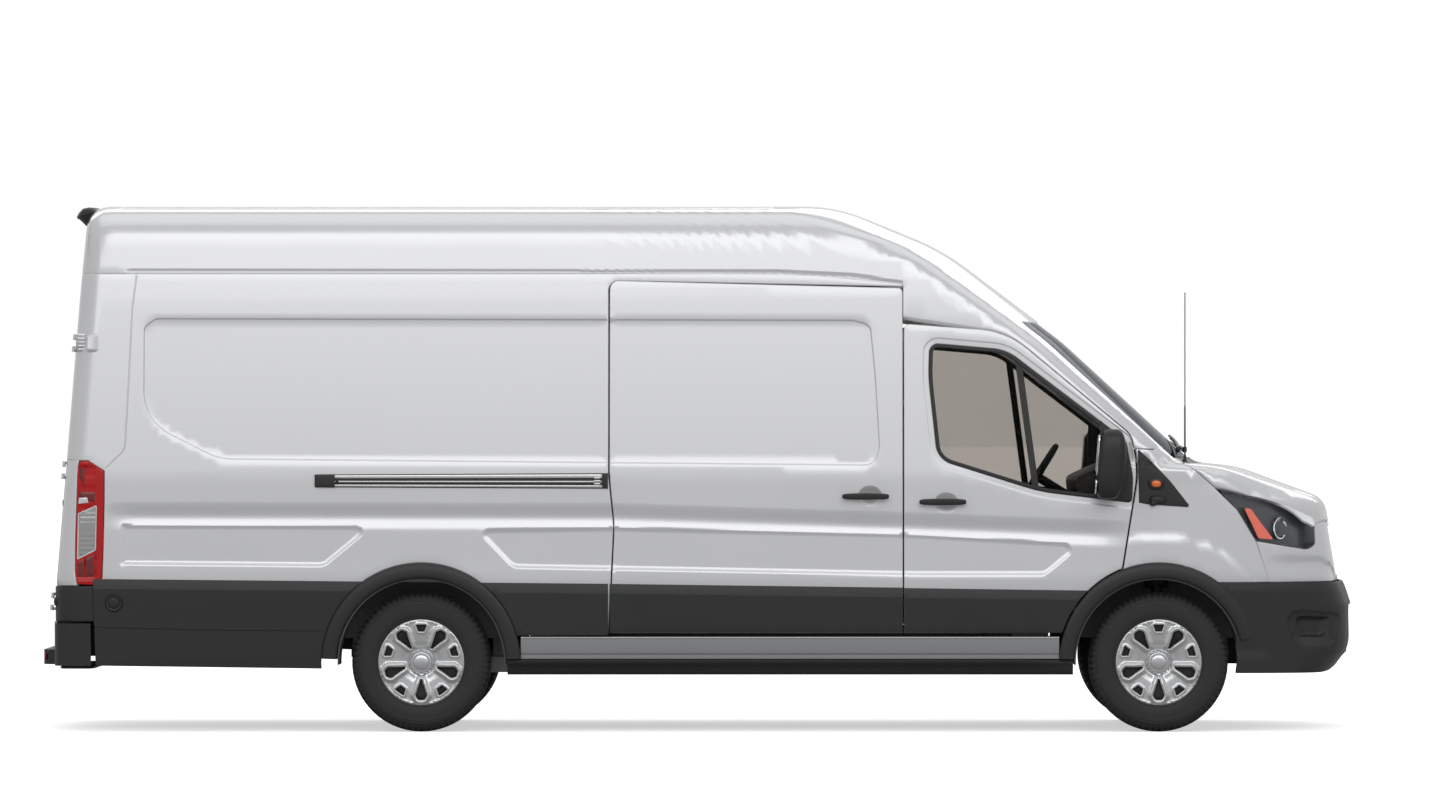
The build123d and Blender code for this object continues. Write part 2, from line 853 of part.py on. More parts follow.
def sill_step():
    start = rear_axle + flare_radius - 100
    end = front_axle - flare_radius + 84
    face = profile(
        (-half + 34, 372 - seat_gap, 8),
        (-half + 60, underside, 14),
        (-half + 150, underside),
        (-half + 150, 372 - seat_gap),
    )
    bar = along_x(face, start, end)
    for axle in (rear_axle, front_axle):
        bar = bar - cylinder_y(axle, wheel_z, arch_radius + 4, -300, -half - 60)
    return one(bar)


# ---------------------------------------------------------------- floor, frame, drive
def floor_pan():
    """Load floor, step down to the cab floor, toe board and bulkhead to the windscreen base."""
    rear_in = tail_x + 42 + rear_door_depth + 60
    low = floor_top - 90
    plate = profile(
        (rear_in, floor_top - 15), (rear_in, floor_top), (door_rear + 60, floor_top),
        (door_rear + 60, low), (front_axle - 260, low), (front_axle - 96, 820),
        (front_axle - 96, 1326), (front_axle - 84, 1326), (front_axle - 84, 810),
        (front_axle - 252, low - 15), (door_rear + 45, low - 15), (door_rear + 45, floor_top - 15),
    )
    pan = along_y(plate, -half, half)
    narrow = block(door_rear + 10, front_axle, -870, 870, 300, 1500)
    wide = block(tail_x, door_rear + 10, -half, half, 300, 1500)
    pan = pan & (narrow + wide) & hull(door_depth - 15 + seat_gap)
    for side in (1, -1):
        pan = pan - cylinder_y(rear_axle, wheel_z, arch_radius + 2, side * 634, side * 1100)
        pan = pan - cylinder_y(front_axle, wheel_z, arch_radius + 2, side * 520, side * 1100)
    return one(pan)


def wheel_liner(axle, inner):
    tube = cylinder_y(axle, wheel_z, arch_radius, -inner, -half + 50)
    tube = tube - cylinder_y(axle, wheel_z, arch_radius - 8, -inner + 20, -half - 60)
    keep = block(axle - 600, axle + 600, -half - 60, 0, 340, 1200)
    if axle == front_axle:
        keep = keep - Pos(axle, -king_point(wheel_z + arch_radius), 750) * Cylinder(90, 200)
    return one(tube & keep & hull(liner_inset))


def chassis_frame():
    """Two long rails with cross members."""
    rails = None
    top = floor_top - 15 - seat_gap
    for side in (1, -1):
        y0, y1 = sorted((side * 400, side * 470))
        rail = block(tail_x + 150, door_rear + 44, y0, y1, 575, top)
        ahead = block(door_rear + 44, front_axle + 620, y0, y1, 520, 598)
        member = rail + ahead
        rails = member if rails is None else rails + member
    for x in (tail_x + 150, rear_axle - 520, rear_axle + 420, door_rear - 300):
        rails = rails + block(x, x + 80, -470, 470, 590, 670)
    rails = rails + block(front_axle + 560, front_axle + 620, -470, 470, 520, 598)
    return one(rails)


def battery_pack():
    mid = (front_axle + rear_axle) / 2 - 40
    pack = block(mid - battery_length / 2, mid + battery_length / 2,
                 -battery_width / 2, battery_width / 2, underside + 20, underside + 20 + battery_height)
    return chamfer(pack.edges().filter_by(Axis.X).group_by(Axis.Z)[0], 40)


def hub_axle(y_in, y_out, axle):
    return cylinder_y(axle, wheel_z, hub_radius - seat_gap, y_in, y_out)


def rear_drive():
    """Motor between the rear wheels, half shafts, trailing arms and hub spindles."""
    size = motor_size / 2
    unit = block(rear_axle - size, rear_axle + size, -260, 260, wheel_z - 120, wheel_z + 150)
    unit = fillet(unit.edges().filter_by(Axis.Y), 60)
    shape = unit
    for side in (1, -1):
        shaft = cylinder_y(rear_axle, wheel_z, 22, side * 240, side * 740)
        arm = block(rear_axle - 30, rear_axle + 430, min(side * 560, side * 630),
                    max(side * 560, side * 630), wheel_z - 60, wheel_z + 20)
        carrier = block(rear_axle - 70, rear_axle + 70, min(side * 560, side * 700),
                        max(side * 560, side * 700), wheel_z - 90, wheel_z + 90)
        beam = block(rear_axle + 350, rear_axle + 430, min(0, side * 630), max(0, side * 630),
                     wheel_z - 60, wheel_z + 20)
        spindle = hub_axle(side * 690, side * (wheel_y + 60), rear_axle)
        link = block(rear_axle + 350, rear_axle + 430, min(side * 405, side * 465), max(side * 405, side * 465),
                     wheel_z + 10, 575 - seat_gap)
        shape = shape + shaft + arm + carrier + beam + spindle + link
    shape = shape + block(rear_axle + 150, rear_axle + 380, -60, 60, wheel_z - 60, wheel_z + 20)
    return one(shape)


king_lean = radians(12.4)
king_y = 771
king_low = 215
king_high = 900


def king_point(level):
    return king_y - (level - wheel_z) * tan(king_lean)


def front_subframe():
    """Cross member with lower arms that reach the ball joints, and the strut towers."""
    beam = block(front_axle - 130, front_axle + 130, -400, 400, king_low - 10, king_low + 70)
    shape = beam
    for side in (1, -1):
        y0, y1 = sorted((side * 380, side * (king_point(king_low + 34) - 30)))
        arm = block(front_axle - 32, front_axle + 32, y0, y1, king_low, king_low + 34)
        post = block(front_axle - 60, front_axle + 60, min(side * 330, side * 400), max(side * 330, side * 400),
                     king_low + 60, 520 - seat_gap)
        shape = shape + arm + post
    return one(shape)


def knuckle():
    """Upright with hub spindle, and the strut along the steering axis."""
    low = Vector(front_axle, -king_point(king_low), king_low)
    high = Vector(front_axle, -king_point(king_high), king_high)
    run = (high - low).normalized()
    rod = Plane(origin=low, z_dir=run)
    leg = extrude(rod * Circle(27), (high - low).length)
    spring_from = Vector(front_axle, -king_point(735), 735)
    spring = extrude(Plane(origin=spring_from, z_dir=run) * Circle(62), 150)
    upright = block(front_axle - 45, front_axle + 45, -790, -720, king_low + 40, wheel_z + 110)
    spindle = hub_axle(-725, -wheel_y - 60, front_axle)
    return one(leg + spring + upright + spindle)


# ---------------------------------------------------------------- wheels
def tyre(axle, side):
    r = tyre_diameter / 2
    w = tyre_width / 2
    rim = rim_diameter / 2 + seat_gap
    face = profile(
        (rim, -w + 32), (rim + 30, -w + 6, 20), (rim + 90, -w, 60), (r - 7, -w + 20, 20), (r, -w + 44),
        (r, w - 44), (r - 7, w - 20, 20), (rim + 90, w, 60), (rim + 30, w - 6, 20), (rim, w - 32),
    )
    ring_face = Plane.XY * face
    solid = revolve(ring_face, Axis.Y)
    return Pos(axle, side * wheel_y, wheel_z) * solid


def cover_window():
    """Trapezoid opening near the cover's rim, in line with a spoke."""
    face = profile((150, -22, 6), (182, -34, 8), (182, 34, 8), (150, 22, 6))
    return extrude(Plane.XZ * face, 60, both=True)


def cover_slot():
    """Pear-shaped opening between two spokes."""
    face = profile((78, -6, 4), (150, -19, 14), (172, 0, 12), (150, 19, 14), (78, 6, 4))
    return extrude(Plane.XZ * face, 60, both=True)


def wheel(axle, side):
    """Steel rim with a silver cover of five spokes."""
    r = rim_diameter / 2
    w = tyre_width / 2
    barrel = profile(
        (r, -w + 36),
        (r, w - 32),
        (r - 9, w - 32),
        (r - 9, -w + 90, 20),
        (hub_radius, -w + 80),
        (hub_radius, -w + 44),
        (r - 30, -w + 30, 30),
    )
    solid = revolve(Plane.XY * barrel, Axis.Y)
    cap = revolve(Plane.XY * profile((0, -w + 42), (0, -w + 8), (40, -w + 12, 10), (60, -w + 30, 12),
                                     (r - 30, -w + 14, 30), (r - 4, -w + 20), (r - 4, -w + 34)), Axis.Y)
    windows = [Pos(0, -w + 5, 0) * Rot(0, 18 + 72 * turn, 0) * window
               for turn in range(5) for window in (cover_window(), Rot(0, 36, 0) * cover_slot())]
    solid = solid + (cap - windows[0].fuse(*windows[1:]))
    if side > 0:
        solid = mirror(solid, about=Plane.XZ)
    return Pos(axle, side * wheel_y, wheel_z) * solid


# ---------------------------------------------------------------- cab
def dashboard():
    face = profile(
        (front_axle - 96 - seat_gap, 860), (front_axle - 96 - seat_gap, 1366), (front_axle - 260, 1360, 40),
        (front_axle - 420, 1290, 40), (front_axle - 400, 1120, 60), (front_axle - 330, 900, 30),
    )
    return along_y(face, -850, 850) - column(seat_gap)


wheel_centre = Vector(front_axle - 580, 430, 1290)
column_lean = 32


def column(gap):
    tilt = Pos(wheel_centre) * Rot(0, -(90 - column_lean), 0) * Rot(0, 0, 90)
    return tilt * Pos(0, 0, -100) * Cylinder(24 + gap, 200 + 2 * gap)


def steering_wheel():
    rim = Torus(185, 15)
    spokes = Box(340, 36, 14) + (Pos(0, -85, 0) * Box(40, 170, 14)) + Cylinder(46, 40)
    column = Pos(0, 0, -100) * Cylinder(24, 200)
    shape = rim + spokes + column
    return Pos(wheel_centre) * Rot(0, -(90 - column_lean), 0) * Rot(0, 0, 90) * shape


def seat(side):
    """Seat on its box, with a raked back and a head restraint."""
    base_z = floor_top - 90 + seat_gap
    x = front_axle - 1180
    face = profile(
        (x + 60, base_z), (x + 40, 940), (x - 110, 1660, 40), (x - 20, 1700, 40), (x + 130, 1030, 60),
        (x + 560, 1045, 50), (x + 560, 930, 40), (x + 470, 925), (x + 470, base_z),
    )
    body = along_y(face, -seat_width / 2, seat_width / 2)
    rest = Pos(x - 88, 0, 1790) * Box(90, 260, 200)
    stalk = Pos(x - 76, 0, 1690) * Box(20, 160, 100)
    return Pos(0, side * 430, 0) * (body + rest + stalk)


# ---------------------------------------------------------------- small outside pieces
def door_track():
    return trim_strip(profile(
        (slide_rear - 1500, 1244, 12), (slide_rear - 1500, 1309, 12),
        (slide_rear - shut_gap, 1316), (slide_rear - shut_gap, 1237)))


def antenna_post(gap):
    return Pos(front_axle + 143, -750, 1377) * Cylinder(18 + gap, 60)


def antenna():
    mast = Pos(front_axle + 143, -750, 1377 + 430) * Cylinder(4, 860)
    return mast + antenna_post(0)


def pair(shape):
    return Compound(children=[*shape.solids(), *left_of(shape).solids()])


def joined(*shapes):
    return Compound(children=[solid for shape in shapes for solid in shape.solids()])


def side_trims():
    """All plastic strips and arch lips that stay on the body."""
    right = joined(trim_strip(rear_trim_outline()), flare(rear_axle), flare(front_axle))
    left = joined(trim_strip(left_trim_outline()), flare(rear_axle), flare(front_axle))
    return joined(right, left_of(left))


def wheel_liners():
    return joined(pair(wheel_liner(front_axle, 540)), pair(wheel_liner(rear_axle, 640)))


single_nodes = {
    "roof_panel": roof_panel,
    "side_panel_right": lambda: side_panel(True),
    "side_panel_left": lambda: left_of(side_panel(False)),
    "sliding_door_right": sliding_door,
    "sliding_door_trim": slide_trim,
    "hood": hood,
    "cowl": cowl,
    "windscreen": windscreen,
    "nose_cover": nose_cover,
    "front_bumper": front_bumper,
    "grille": grille,
    "rear_bumper": rear_bumper,
    "roof_spoiler": roof_spoiler,
    "tail_lamps": lambda: pair(tail_lamp()),
    "side_trims": side_trims,
    "sill_trims": lambda: pair(sill_trim()),
    "sill_steps": lambda: pair(sill_step()),
    "wheel_liners": wheel_liners,
    "floor_pan": floor_pan,
    "chassis_frame": chassis_frame,
    "battery_pack": battery_pack,
    "rear_drive": rear_drive,
    "front_subframe": front_subframe,
    "dashboard": dashboard,
    "steering_wheel": steering_wheel,
    "seats": lambda: joined(seat(1), seat(-1)),
    "door_track": door_track,
    "antenna": antenna,
}
paired_nodes = {
    "front_door": front_door,
    "door_glass": door_glass,
    "door_trim": door_trim,
    "mirror": mirror_body,
    "fender": fender,
    "headlamp": headlamp,
    "rear_door": rear_door,
    "knuckle": knuckle,
}


def save(name, shape):
    export_step(shape, "parts/" + name + ".step")


def main():
    for name, make in single_nodes.items():
        save(name, make())
    for name, make in paired_nodes.items():
        shape = make()
        save(name + "_right", shape)
        save(name + "_left", left_of(shape))
    for end, axle in (("front", front_axle), ("rear", rear_axle)):
        for side_name, side in (("left", 1), ("right", -1)):
            save("tyre_" + end + "_" + side_name, tyre(axle, side))
            save("wheel_" + end + "_" + side_name, wheel(axle, side))


if __name__ == "__main__":
    main()
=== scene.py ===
# Electric cargo van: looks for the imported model, in metres, X forward, Y left, Z up.
import bpy
import numpy as np
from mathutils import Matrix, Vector
from mathutils.geometry import delaunay_2d_cdt


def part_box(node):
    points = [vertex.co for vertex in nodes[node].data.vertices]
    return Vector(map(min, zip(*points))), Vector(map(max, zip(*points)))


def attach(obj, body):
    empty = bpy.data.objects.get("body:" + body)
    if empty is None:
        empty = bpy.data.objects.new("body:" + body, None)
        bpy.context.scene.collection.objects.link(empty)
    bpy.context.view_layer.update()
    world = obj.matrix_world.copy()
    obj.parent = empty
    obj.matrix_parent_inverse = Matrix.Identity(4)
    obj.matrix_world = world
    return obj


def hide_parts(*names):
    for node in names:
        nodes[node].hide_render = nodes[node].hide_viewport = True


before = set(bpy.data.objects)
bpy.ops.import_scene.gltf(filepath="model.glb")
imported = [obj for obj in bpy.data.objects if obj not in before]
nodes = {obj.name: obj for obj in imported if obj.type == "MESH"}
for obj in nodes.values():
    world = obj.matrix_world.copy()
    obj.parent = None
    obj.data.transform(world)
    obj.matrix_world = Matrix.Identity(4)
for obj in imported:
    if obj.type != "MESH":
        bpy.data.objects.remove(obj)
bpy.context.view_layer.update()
print("frame loaded:", len(nodes), "nodes")

# Where the wheels stand: both axles, the height of their centres, and their distance from the middle.
wheelPlace = {"front": 2.33, "rear": -1.42, "height": 0.354, "out": 0.87}
frontAxle, rearAxle, hubHeight = wheelPlace["front"], wheelPlace["rear"], wheelPlace["height"]


# Corners (u, v, radius) joined by straight runs, with a tangent arc at each corner that has a radius.
def roundedLine(rows, closed=True, arcSteps=8):
    points = np.array([row[:2] for row in rows], float)
    radii = [row[2] if len(row) > 2 else 0.0 for row in rows]
    line = []
    for index, radius in enumerate(radii):
        here = points[index]
        if radius == 0 or (not closed and index in (0, len(rows) - 1)):
            line.append(here[None])
            continue
        back = points[index - 1] - here
        ahead = points[(index + 1) % len(rows)] - here
        back = back / np.linalg.norm(back)
        ahead = ahead / np.linalg.norm(ahead)
        halfTurn = (np.pi - np.arccos(np.clip(back @ ahead, -1, 1))) / 2
        bisector = (back + ahead) / np.linalg.norm(back + ahead)
        centre = here + bisector * radius / np.cos(halfTurn)
        start = here + back * radius * np.tan(halfTurn) - centre
        end = here + ahead * radius * np.tan(halfTurn) - centre
        first = np.arctan2(start[1], start[0])
        sweep = np.arctan2(end[1], end[0]) - first
        sweep = (sweep + np.pi) % (2 * np.pi) - np.pi
        angle = first + sweep * np.linspace(0, 1, arcSteps + 1)
        line.append(centre + radius * np.stack([np.cos(angle), np.sin(angle)], 1))
    return np.concatenate(line)


# Points on an arc about (x, z), between two angles in degrees.
def circleLine(x, z, radius, start=0.0, end=360.0, steps=72):
    angle = np.radians(np.linspace(start, end, steps, endpoint=abs(end - start) < 360))
    return np.stack([x + radius * np.cos(angle), z + radius * np.sin(angle)], 1)


# The same line with points no further apart than the step.
def evenly(line, step, closed=True):
    loop = np.concatenate([line, line[:1]]) if closed else line
    runs = np.linalg.norm(np.diff(loop, axis=0), axis=1)
    keep = np.concatenate([[True], runs > 1e-6])
    loop = loop[keep]
    runs = np.linalg.norm(np.diff(loop, axis=0), axis=1)
    counts = np.maximum(1, np.ceil(runs / step).astype(int))
    start = np.repeat(loop[:-1], counts, axis=0)
    run = np.repeat(np.diff(loop, axis=0), counts, axis=0)
    order = np.arange(counts.sum()) - np.repeat(np.cumsum(counts) - counts, counts)
    points = start + run * (order / np.repeat(counts, counts))[:, None]
    return points if closed else np.concatenate([points, loop[-1:]])


# The line shifted sideways by the amount, to the left of its direction.
def moved(line, amount, closed=True):
    if closed:
        along = np.roll(line, -1, 0) - np.roll(line, 1, 0)
    else:
        along = np.gradient(line, axis=0)
    along = along / np.maximum(np.linalg.norm(along, axis=1, keepdims=True), 1e-9)
    return line + amount * np.stack([-along[:, 1], along[:, 0]], 1)


def area(line):
    following = np.roll(line, -1, 0)
    return 0.5 * np.sum(line[:, 0] * following[:, 1] - line[:, 1] * following[:, 0])


def anticlockwise(line):
    return line if area(line) > 0 else line[::-1]


# Even-odd count of the line's edges to the right of each point.
def inside(points, line):
    a, b = line, np.roll(line, -1, 0)
    px, pz = points[:, :1], points[:, 1:]
    spans = (a[:, 1] > pz) != (b[:, 1] > pz)
    rise = np.where(np.abs(b[:, 1] - a[:, 1]) < 1e-12, 1e-12, b[:, 1] - a[:, 1])
    crossing = a[:, 0] + (pz - a[:, 1]) * (b[:, 0] - a[:, 0]) / rise
    return (np.sum(spans & (px < crossing), axis=1) % 2).astype(bool)


# Shortest distance from each point to the straight pieces of the line.
def distanceTo(points, line, closed=True):
    a = line if closed else line[:-1]
    run = (np.roll(line, -1, 0) if closed else line[1:]) - a
    lengthSquared = np.maximum((run ** 2).sum(1), 1e-12)
    nearest = np.full(len(points), 1e9)
    for block in np.array_split(np.arange(len(a)), max(1, len(a) // 40)):
        gap = points[:, None] - a[block]
        share = np.clip((gap * run[block]).sum(2) / lengthSquared[block], 0, 1)
        away = gap - share[..., None] * run[block]
        nearest = np.minimum(nearest, np.sqrt((away ** 2).sum(2)).min(1))
    return nearest


# The same distance, counted as negative outside the closed line.
def depthWithin(points, line):
    return distanceTo(points, line) * np.where(inside(points, line), 1, -1)


# The runs of a line whose points are held, as open rings; runs with fewer points than the least are left out.
def heldRuns(line, held, least=2):
    runs = np.split(np.arange(len(line)), np.flatnonzero(np.diff(held.astype(int))) + 1)
    return [(line[run], False) for run in runs if held[run[0]] and len(run) >= least]


# Eases from 0 to 1 with a flat start and end.
def smooth(share):
    t = np.clip(share, 0, 1)
    return t * t * (3 - 2 * t)


# Eases from 0 to 1 as the value rises past the start, over the run.
def ramp(value, start, run):
    return smooth((value - start) / run)


# Puts (points, faces) or (points, faces, corner normals) into a new object with a finish, which rides on a body; slot
# is not used.
def addPiece(name, made, tone, body="body", replaced=(), slot=None):
    verts, faces = made[0], made[1]
    mesh = bpy.data.meshes.new(name)
    mesh.from_pydata(np.asarray(verts).tolist(), [], faces.tolist() if isinstance(faces, np.ndarray) else faces)
    mesh.update()
    mesh.polygons.foreach_set("use_smooth", np.ones(len(mesh.polygons), bool))
    mesh.set_sharp_from_angle(angle=np.radians(38))
    if len(made) > 2:
        mesh.normals_split_custom_set(made[2].reshape(-1, 3).tolist())
    piece = bpy.data.objects.new(name, mesh)
    bpy.context.scene.collection.objects.link(piece)
    mesh.materials.append(finishes[tone])
    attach(piece, body)
    if replaced:
        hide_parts(*replaced)
    slot or tone


# Quads over a grid of points stored row by row.
def gridFaces(rows, columns, closeRows=False, closeColumns=False):
    r = np.arange(rows if closeRows else rows - 1)
    c = np.arange(columns if closeColumns else columns - 1)
    r, c = [side.ravel() for side in np.meshgrid(r, c, indexing="ij")]
    rn, cn = (r + 1) % rows, (c + 1) % columns
    return np.stack([r * columns + c, r * columns + cn, rn * columns + cn, rn * columns + c], 1)


# A profile of (radius, offset) turned about a crosswise axis; wave(angle, radius, offset) may change both.
def turnedMesh(profile, steps, wave=None):
    angle = np.linspace(0, 2 * np.pi, steps, endpoint=False)[:, None]
    radius, offset = [np.repeat(column[None], steps, 0) for column in profile.T]
    if wave:
        radius, offset = wave(angle, radius, offset)
    points = np.stack([radius * np.cos(angle), offset, radius * np.sin(angle)], 2)
    return points.reshape(-1, 3), gridFaces(steps, len(profile), closeRows=True)


# Triangles over a plane outline with holes, with extra points along the given rings and just inside the edges.
def trimmedSheet(outline, holes, spacing, rings=(), edge=0.004):
    step = spacing * 0.5
    borders = [anticlockwise(evenly(outline, step))] + [anticlockwise(evenly(h, step)) for h in holes]
    loops = [(line, True) for line in borders]
    if edge:
        for index, line in enumerate(borders):
            for share in (0.3, 1.0):
                loops.append((moved(line, edge * share * (1 if index == 0 else -1)), True))
    loops += [(evenly(line, step, closed), closed) for line, closed in rings]
    low, high = outline.min(0), outline.max(0)
    count = np.ceil((high - low) / spacing).astype(int) + 1
    u, v = np.meshgrid(np.linspace(low[0], high[0], count[0]), np.linspace(low[1], high[1], count[1]))
    field = np.stack([u.ravel(), v.ravel()], 1)
    keep = inside(field, borders[0])
    for line in borders[1:]:
        keep &= ~inside(field, line)
    field = field[keep]
    for line, closed in loops:
        field = field[distanceTo(field, line, closed) > spacing * 0.42]
    points, edges, total = [], [], 0
    for line, closed in loops:
        index = total + np.arange(len(line))
        links = np.stack([index, np.roll(index, -1)], 1)
        edges.append(links if closed else links[:-1])
        points.append(line)
        total += len(line)
    points.append(field)
    flat = np.concatenate(points)
    linked = np.concatenate(edges)
    out = delaunay_2d_cdt([tuple(p) for p in flat.tolist()], [tuple(e) for e in linked.tolist()], [], 0, 1e-6, False)
    flat = np.array([tuple(p) for p in out[0]])
    tris = np.array(out[2])
    middle = flat[tris].mean(1)
    keep = inside(middle, borders[0])
    for line in borders[1:]:
        keep &= ~inside(middle, line)
    tris = tris[keep]
    p = flat[tris]
    turn = (p[:, 1, 0] - p[:, 0, 0]) * (p[:, 2, 1] - p[:, 0, 1]) - (p[:, 1, 1] - p[:, 0, 1]) * (p[:, 2, 0] - p[:, 0, 0])
    tris = np.where((turn > 0)[:, None], tris, tris[:, ::-1])
    used, tris = np.unique(tris[np.abs(turn) > 1e-12], return_inverse=True)
    return flat[used], tris.reshape(-1, 3), borders


# A trimmed sheet laid on surface(u, v, depth), rounded down along its edges, and closed by a back and a rim.
def shellFrom(outline, holes, surface, thickness, spacing=0.04, rings=(), edge=0.004, relief=None):
    flat, tris, borders = trimmedSheet(outline, holes, spacing, rings, edge)

    def laid(points, below=0.0):
        depth = relief(points) if relief else np.zeros(len(points))
        if edge:
            near = np.minimum.reduce([distanceTo(points, line) for line in borders])
            rest = np.clip(edge - near, 0, edge)
            depth = depth + edge - np.sqrt(np.maximum(edge ** 2 - rest ** 2, 0))
        return surface(points[:, 0], points[:, 1], depth + below)

    front, back = laid(flat), laid(flat, thickness)
    nudge = 0.0008
    alongU = laid(flat + (nudge, 0)) - laid(flat - (nudge, 0))
    alongV = laid(flat + (0, nudge)) - laid(flat - (0, nudge))
    normal = np.cross(alongU, alongV)
    normal /= np.maximum(np.linalg.norm(normal, axis=1, keepdims=True), 1e-12)
    count = len(flat)
    pairs = np.concatenate([tris[:, [0, 1]], tris[:, [1, 2]], tris[:, [2, 0]]])
    key = np.sort(pairs, 1)
    _, first, seen = np.unique(key, axis=0, return_index=True, return_counts=True)
    rim = pairs[first[seen == 1]]
    walls = np.concatenate([np.stack([rim[:, 1], rim[:, 0], rim[:, 0] + count], 1),
                            np.stack([rim[:, 1], rim[:, 0] + count, rim[:, 1] + count], 1)])
    faces = np.concatenate([tris, tris[:, ::-1] + count, walls])
    corners = np.concatenate([normal[tris], -normal[tris[:, ::-1]], np.zeros((len(walls), 3, 3))])
    return np.concatenate([front, back]), faces, corners


# The same piece on the other side: y changes sign and each face turns round.
def mirrored(made):
    verts, faces = np.asarray(made[0]) * (1, -1, 1), made[1]
    faces = faces[:, ::-1] if isinstance(faces, np.ndarray) else [tuple(face)[::-1] for face in faces]
    return (verts, faces) if len(made) < 3 else (verts, faces, made[2][:, ::-1] * (1, -1, 1))


# The piece on the right side and its mirror image on the left; @ in the name of a body or node stands for the side.
def addPair(name, made, tone, body="body", replaced=(), slot=None):
    for side, shape in (("right", made), ("left", mirrored(made))):
        addPiece(name + "_" + side, shape, tone, body.replace("@", side), [node.replace("@", side) for node in replaced], slot)


# The body's outer form.
bodyForm = {
    "sideRows": [(0.974, 0.0), (0.984, 0.33), (1.018, 0.76, 1.2), (0.998, 1.3, 1.2), (0.91, 2.3, 1.2), (0.861, 2.86)],
    "bowAxis": -0.8, "sternAxis": 5.64, "taperStart": 2.25, "taperRadius": 2.082,
    "bowRows": [(0.6716, 2.7), (1.249, 2.4632, 1.2), (1.869, 1.996, 1.1), (2.55, 1.37, 0.12), (2.77, 1.348, 0.6),
                (3.222, 1.182, 0.11), (3.298, 0.72, 0.3), (3.302, -0.06)],
    "sternRows": [(-3.318, -0.08), (-3.322, 0.76, 0.9), (-3.202, 2.225, 0.9), (-3.155, 2.71)],
    "roofTop": 2.69, "crown": 8.0, "roofCorner": 0.14, "pillarCorner": 0.06, "noseCorner": 0.26, "rearCorner": 0.11,
}
sideTable = roundedLine(bodyForm["sideRows"], closed=False, arcSteps=24)
bowTable = roundedLine([(0.0, 2.701)] + bodyForm["bowRows"], closed=False, arcSteps=24)[::-1]
sternTable = roundedLine(bodyForm["sternRows"], closed=False, arcSteps=24)


# Half the width: the side profile at height z, drawn in by a plan arc ahead of the taper's start.
def sideReach(x, z):
    width = np.interp(z, sideTable[:, 1], sideTable[:, 0])
    ahead = np.maximum(x - bodyForm["taperStart"], 0)
    return np.sqrt((bodyForm["taperRadius"] + width) ** 2 - ahead ** 2) - bodyForm["taperRadius"]


# Furthest forward point: the middle profile turned about an upright axis in the load space.
def bowReach(y, z):
    reach = np.interp(z, bowTable[:, 1], bowTable[:, 0]) - bodyForm["bowAxis"]
    return bodyForm["bowAxis"] + np.sqrt(np.maximum(reach ** 2 - y ** 2, 0))


# Furthest rear point: the rear profile turned about an upright axis far ahead.
def sternReach(y, z):
    reach = bodyForm["sternAxis"] - np.interp(z, sternTable[:, 1], sternTable[:, 0])
    return bodyForm["sternAxis"] - np.sqrt(reach ** 2 - y ** 2)


# The larger of two distances, rounded where they meet: max + h * h * size / 4, h falling off over the size.
def softMax(a, b, size):
    h = np.maximum(size - np.abs(a - b), 0) / size
    return np.maximum(a, b) + h * h * size / 4


# Signed distance, roughly: how far a point stands outside the sides, bow, stern and crowned roof, all blended.
def outside(x, y, z):
    side = np.abs(y) - sideReach(x, z)
    slope = (bowReach(y, z - 0.004) - bowReach(y, z + 0.004)) / 0.008
    bow = (x - bowReach(y, z)) / np.sqrt(1 + slope ** 2)
    stern = sternReach(y, z) - x
    roof = z - bodyForm["roofTop"] + bodyForm["crown"] - np.sqrt(bodyForm["crown"] ** 2 - y ** 2)
    corner = bodyForm["pillarCorner"] + (bodyForm["noseCorner"] - bodyForm["pillarCorner"]) * smooth((x - 2.55) / 0.55)
    form = softMax(side, roof, bodyForm["roofCorner"])
    form = softMax(form, stern, bodyForm["rearCorner"])
    return softMax(form, bow, corner)


# Walks out along each ray by halving until it meets the form.
def cast(origin, way, form, reach=2.4, halvings=34):
    low, high = np.zeros(len(origin)), np.full(len(origin), reach)
    for _ in range(halvings):
        mid = (low + high) / 2
        p = origin + way * mid[:, None]
        out = form(p[:, 0], p[:, 1], p[:, 2]) > 0
        high, low = np.where(out, mid, high), np.where(out, low, mid)
    return low


# A surface(u, v, depth) from rays(u, v), measured inwards from where they meet the form.
def surfaceOf(rays, form=outside):
    def surface(u, v, depth):
        origin, way = rays(u, v)
        return origin + way * (cast(origin, way, form) - depth)[:, None]
    return surface


rearPivot = {"x": -2.95, "y": 0.62, "scale": 0.45}


# Level rays to the right side; behind the pivot they turn towards the rear round the corner.
def sideRays(u, z):
    turn = np.maximum(rearPivot["x"] - u, 0) / rearPivot["scale"]
    origin = np.stack([np.maximum(u, rearPivot["x"]), np.full_like(u, -rearPivot["y"]), z], 1)
    way = np.stack([-np.sin(turn), -np.cos(turn), np.zeros_like(u)], 1)
    return origin, way


sideSurface = surfaceOf(sideRays)


# A surface moved out by a lift.
def lifted(lift, surface=sideSurface):
    return lambda u, v, depth: surface(u, v, depth - lift)


# The surface's own u at points given in side view, from a table of trial values at each level.
def tableU(x, z, surface, low, high, count):
    trial = np.linspace(low, high, count)
    return np.array([np.interp(px, surface(trial, np.full(count, pz), np.zeros(count))[:, 0], trial)
                     for px, pz in zip(np.atleast_1d(x), np.atleast_1d(z))])


# The side surface's own u for a point near the rear corner, from its place in plan.
def aroundRear(x, y):
    x, y = np.asarray(x, float), np.asarray(y, float)
    turned = rearPivot["x"] - rearPivot["scale"] * np.arctan2(rearPivot["x"] - x, y - rearPivot["y"])
    return np.where(x < rearPivot["x"], turned, x)


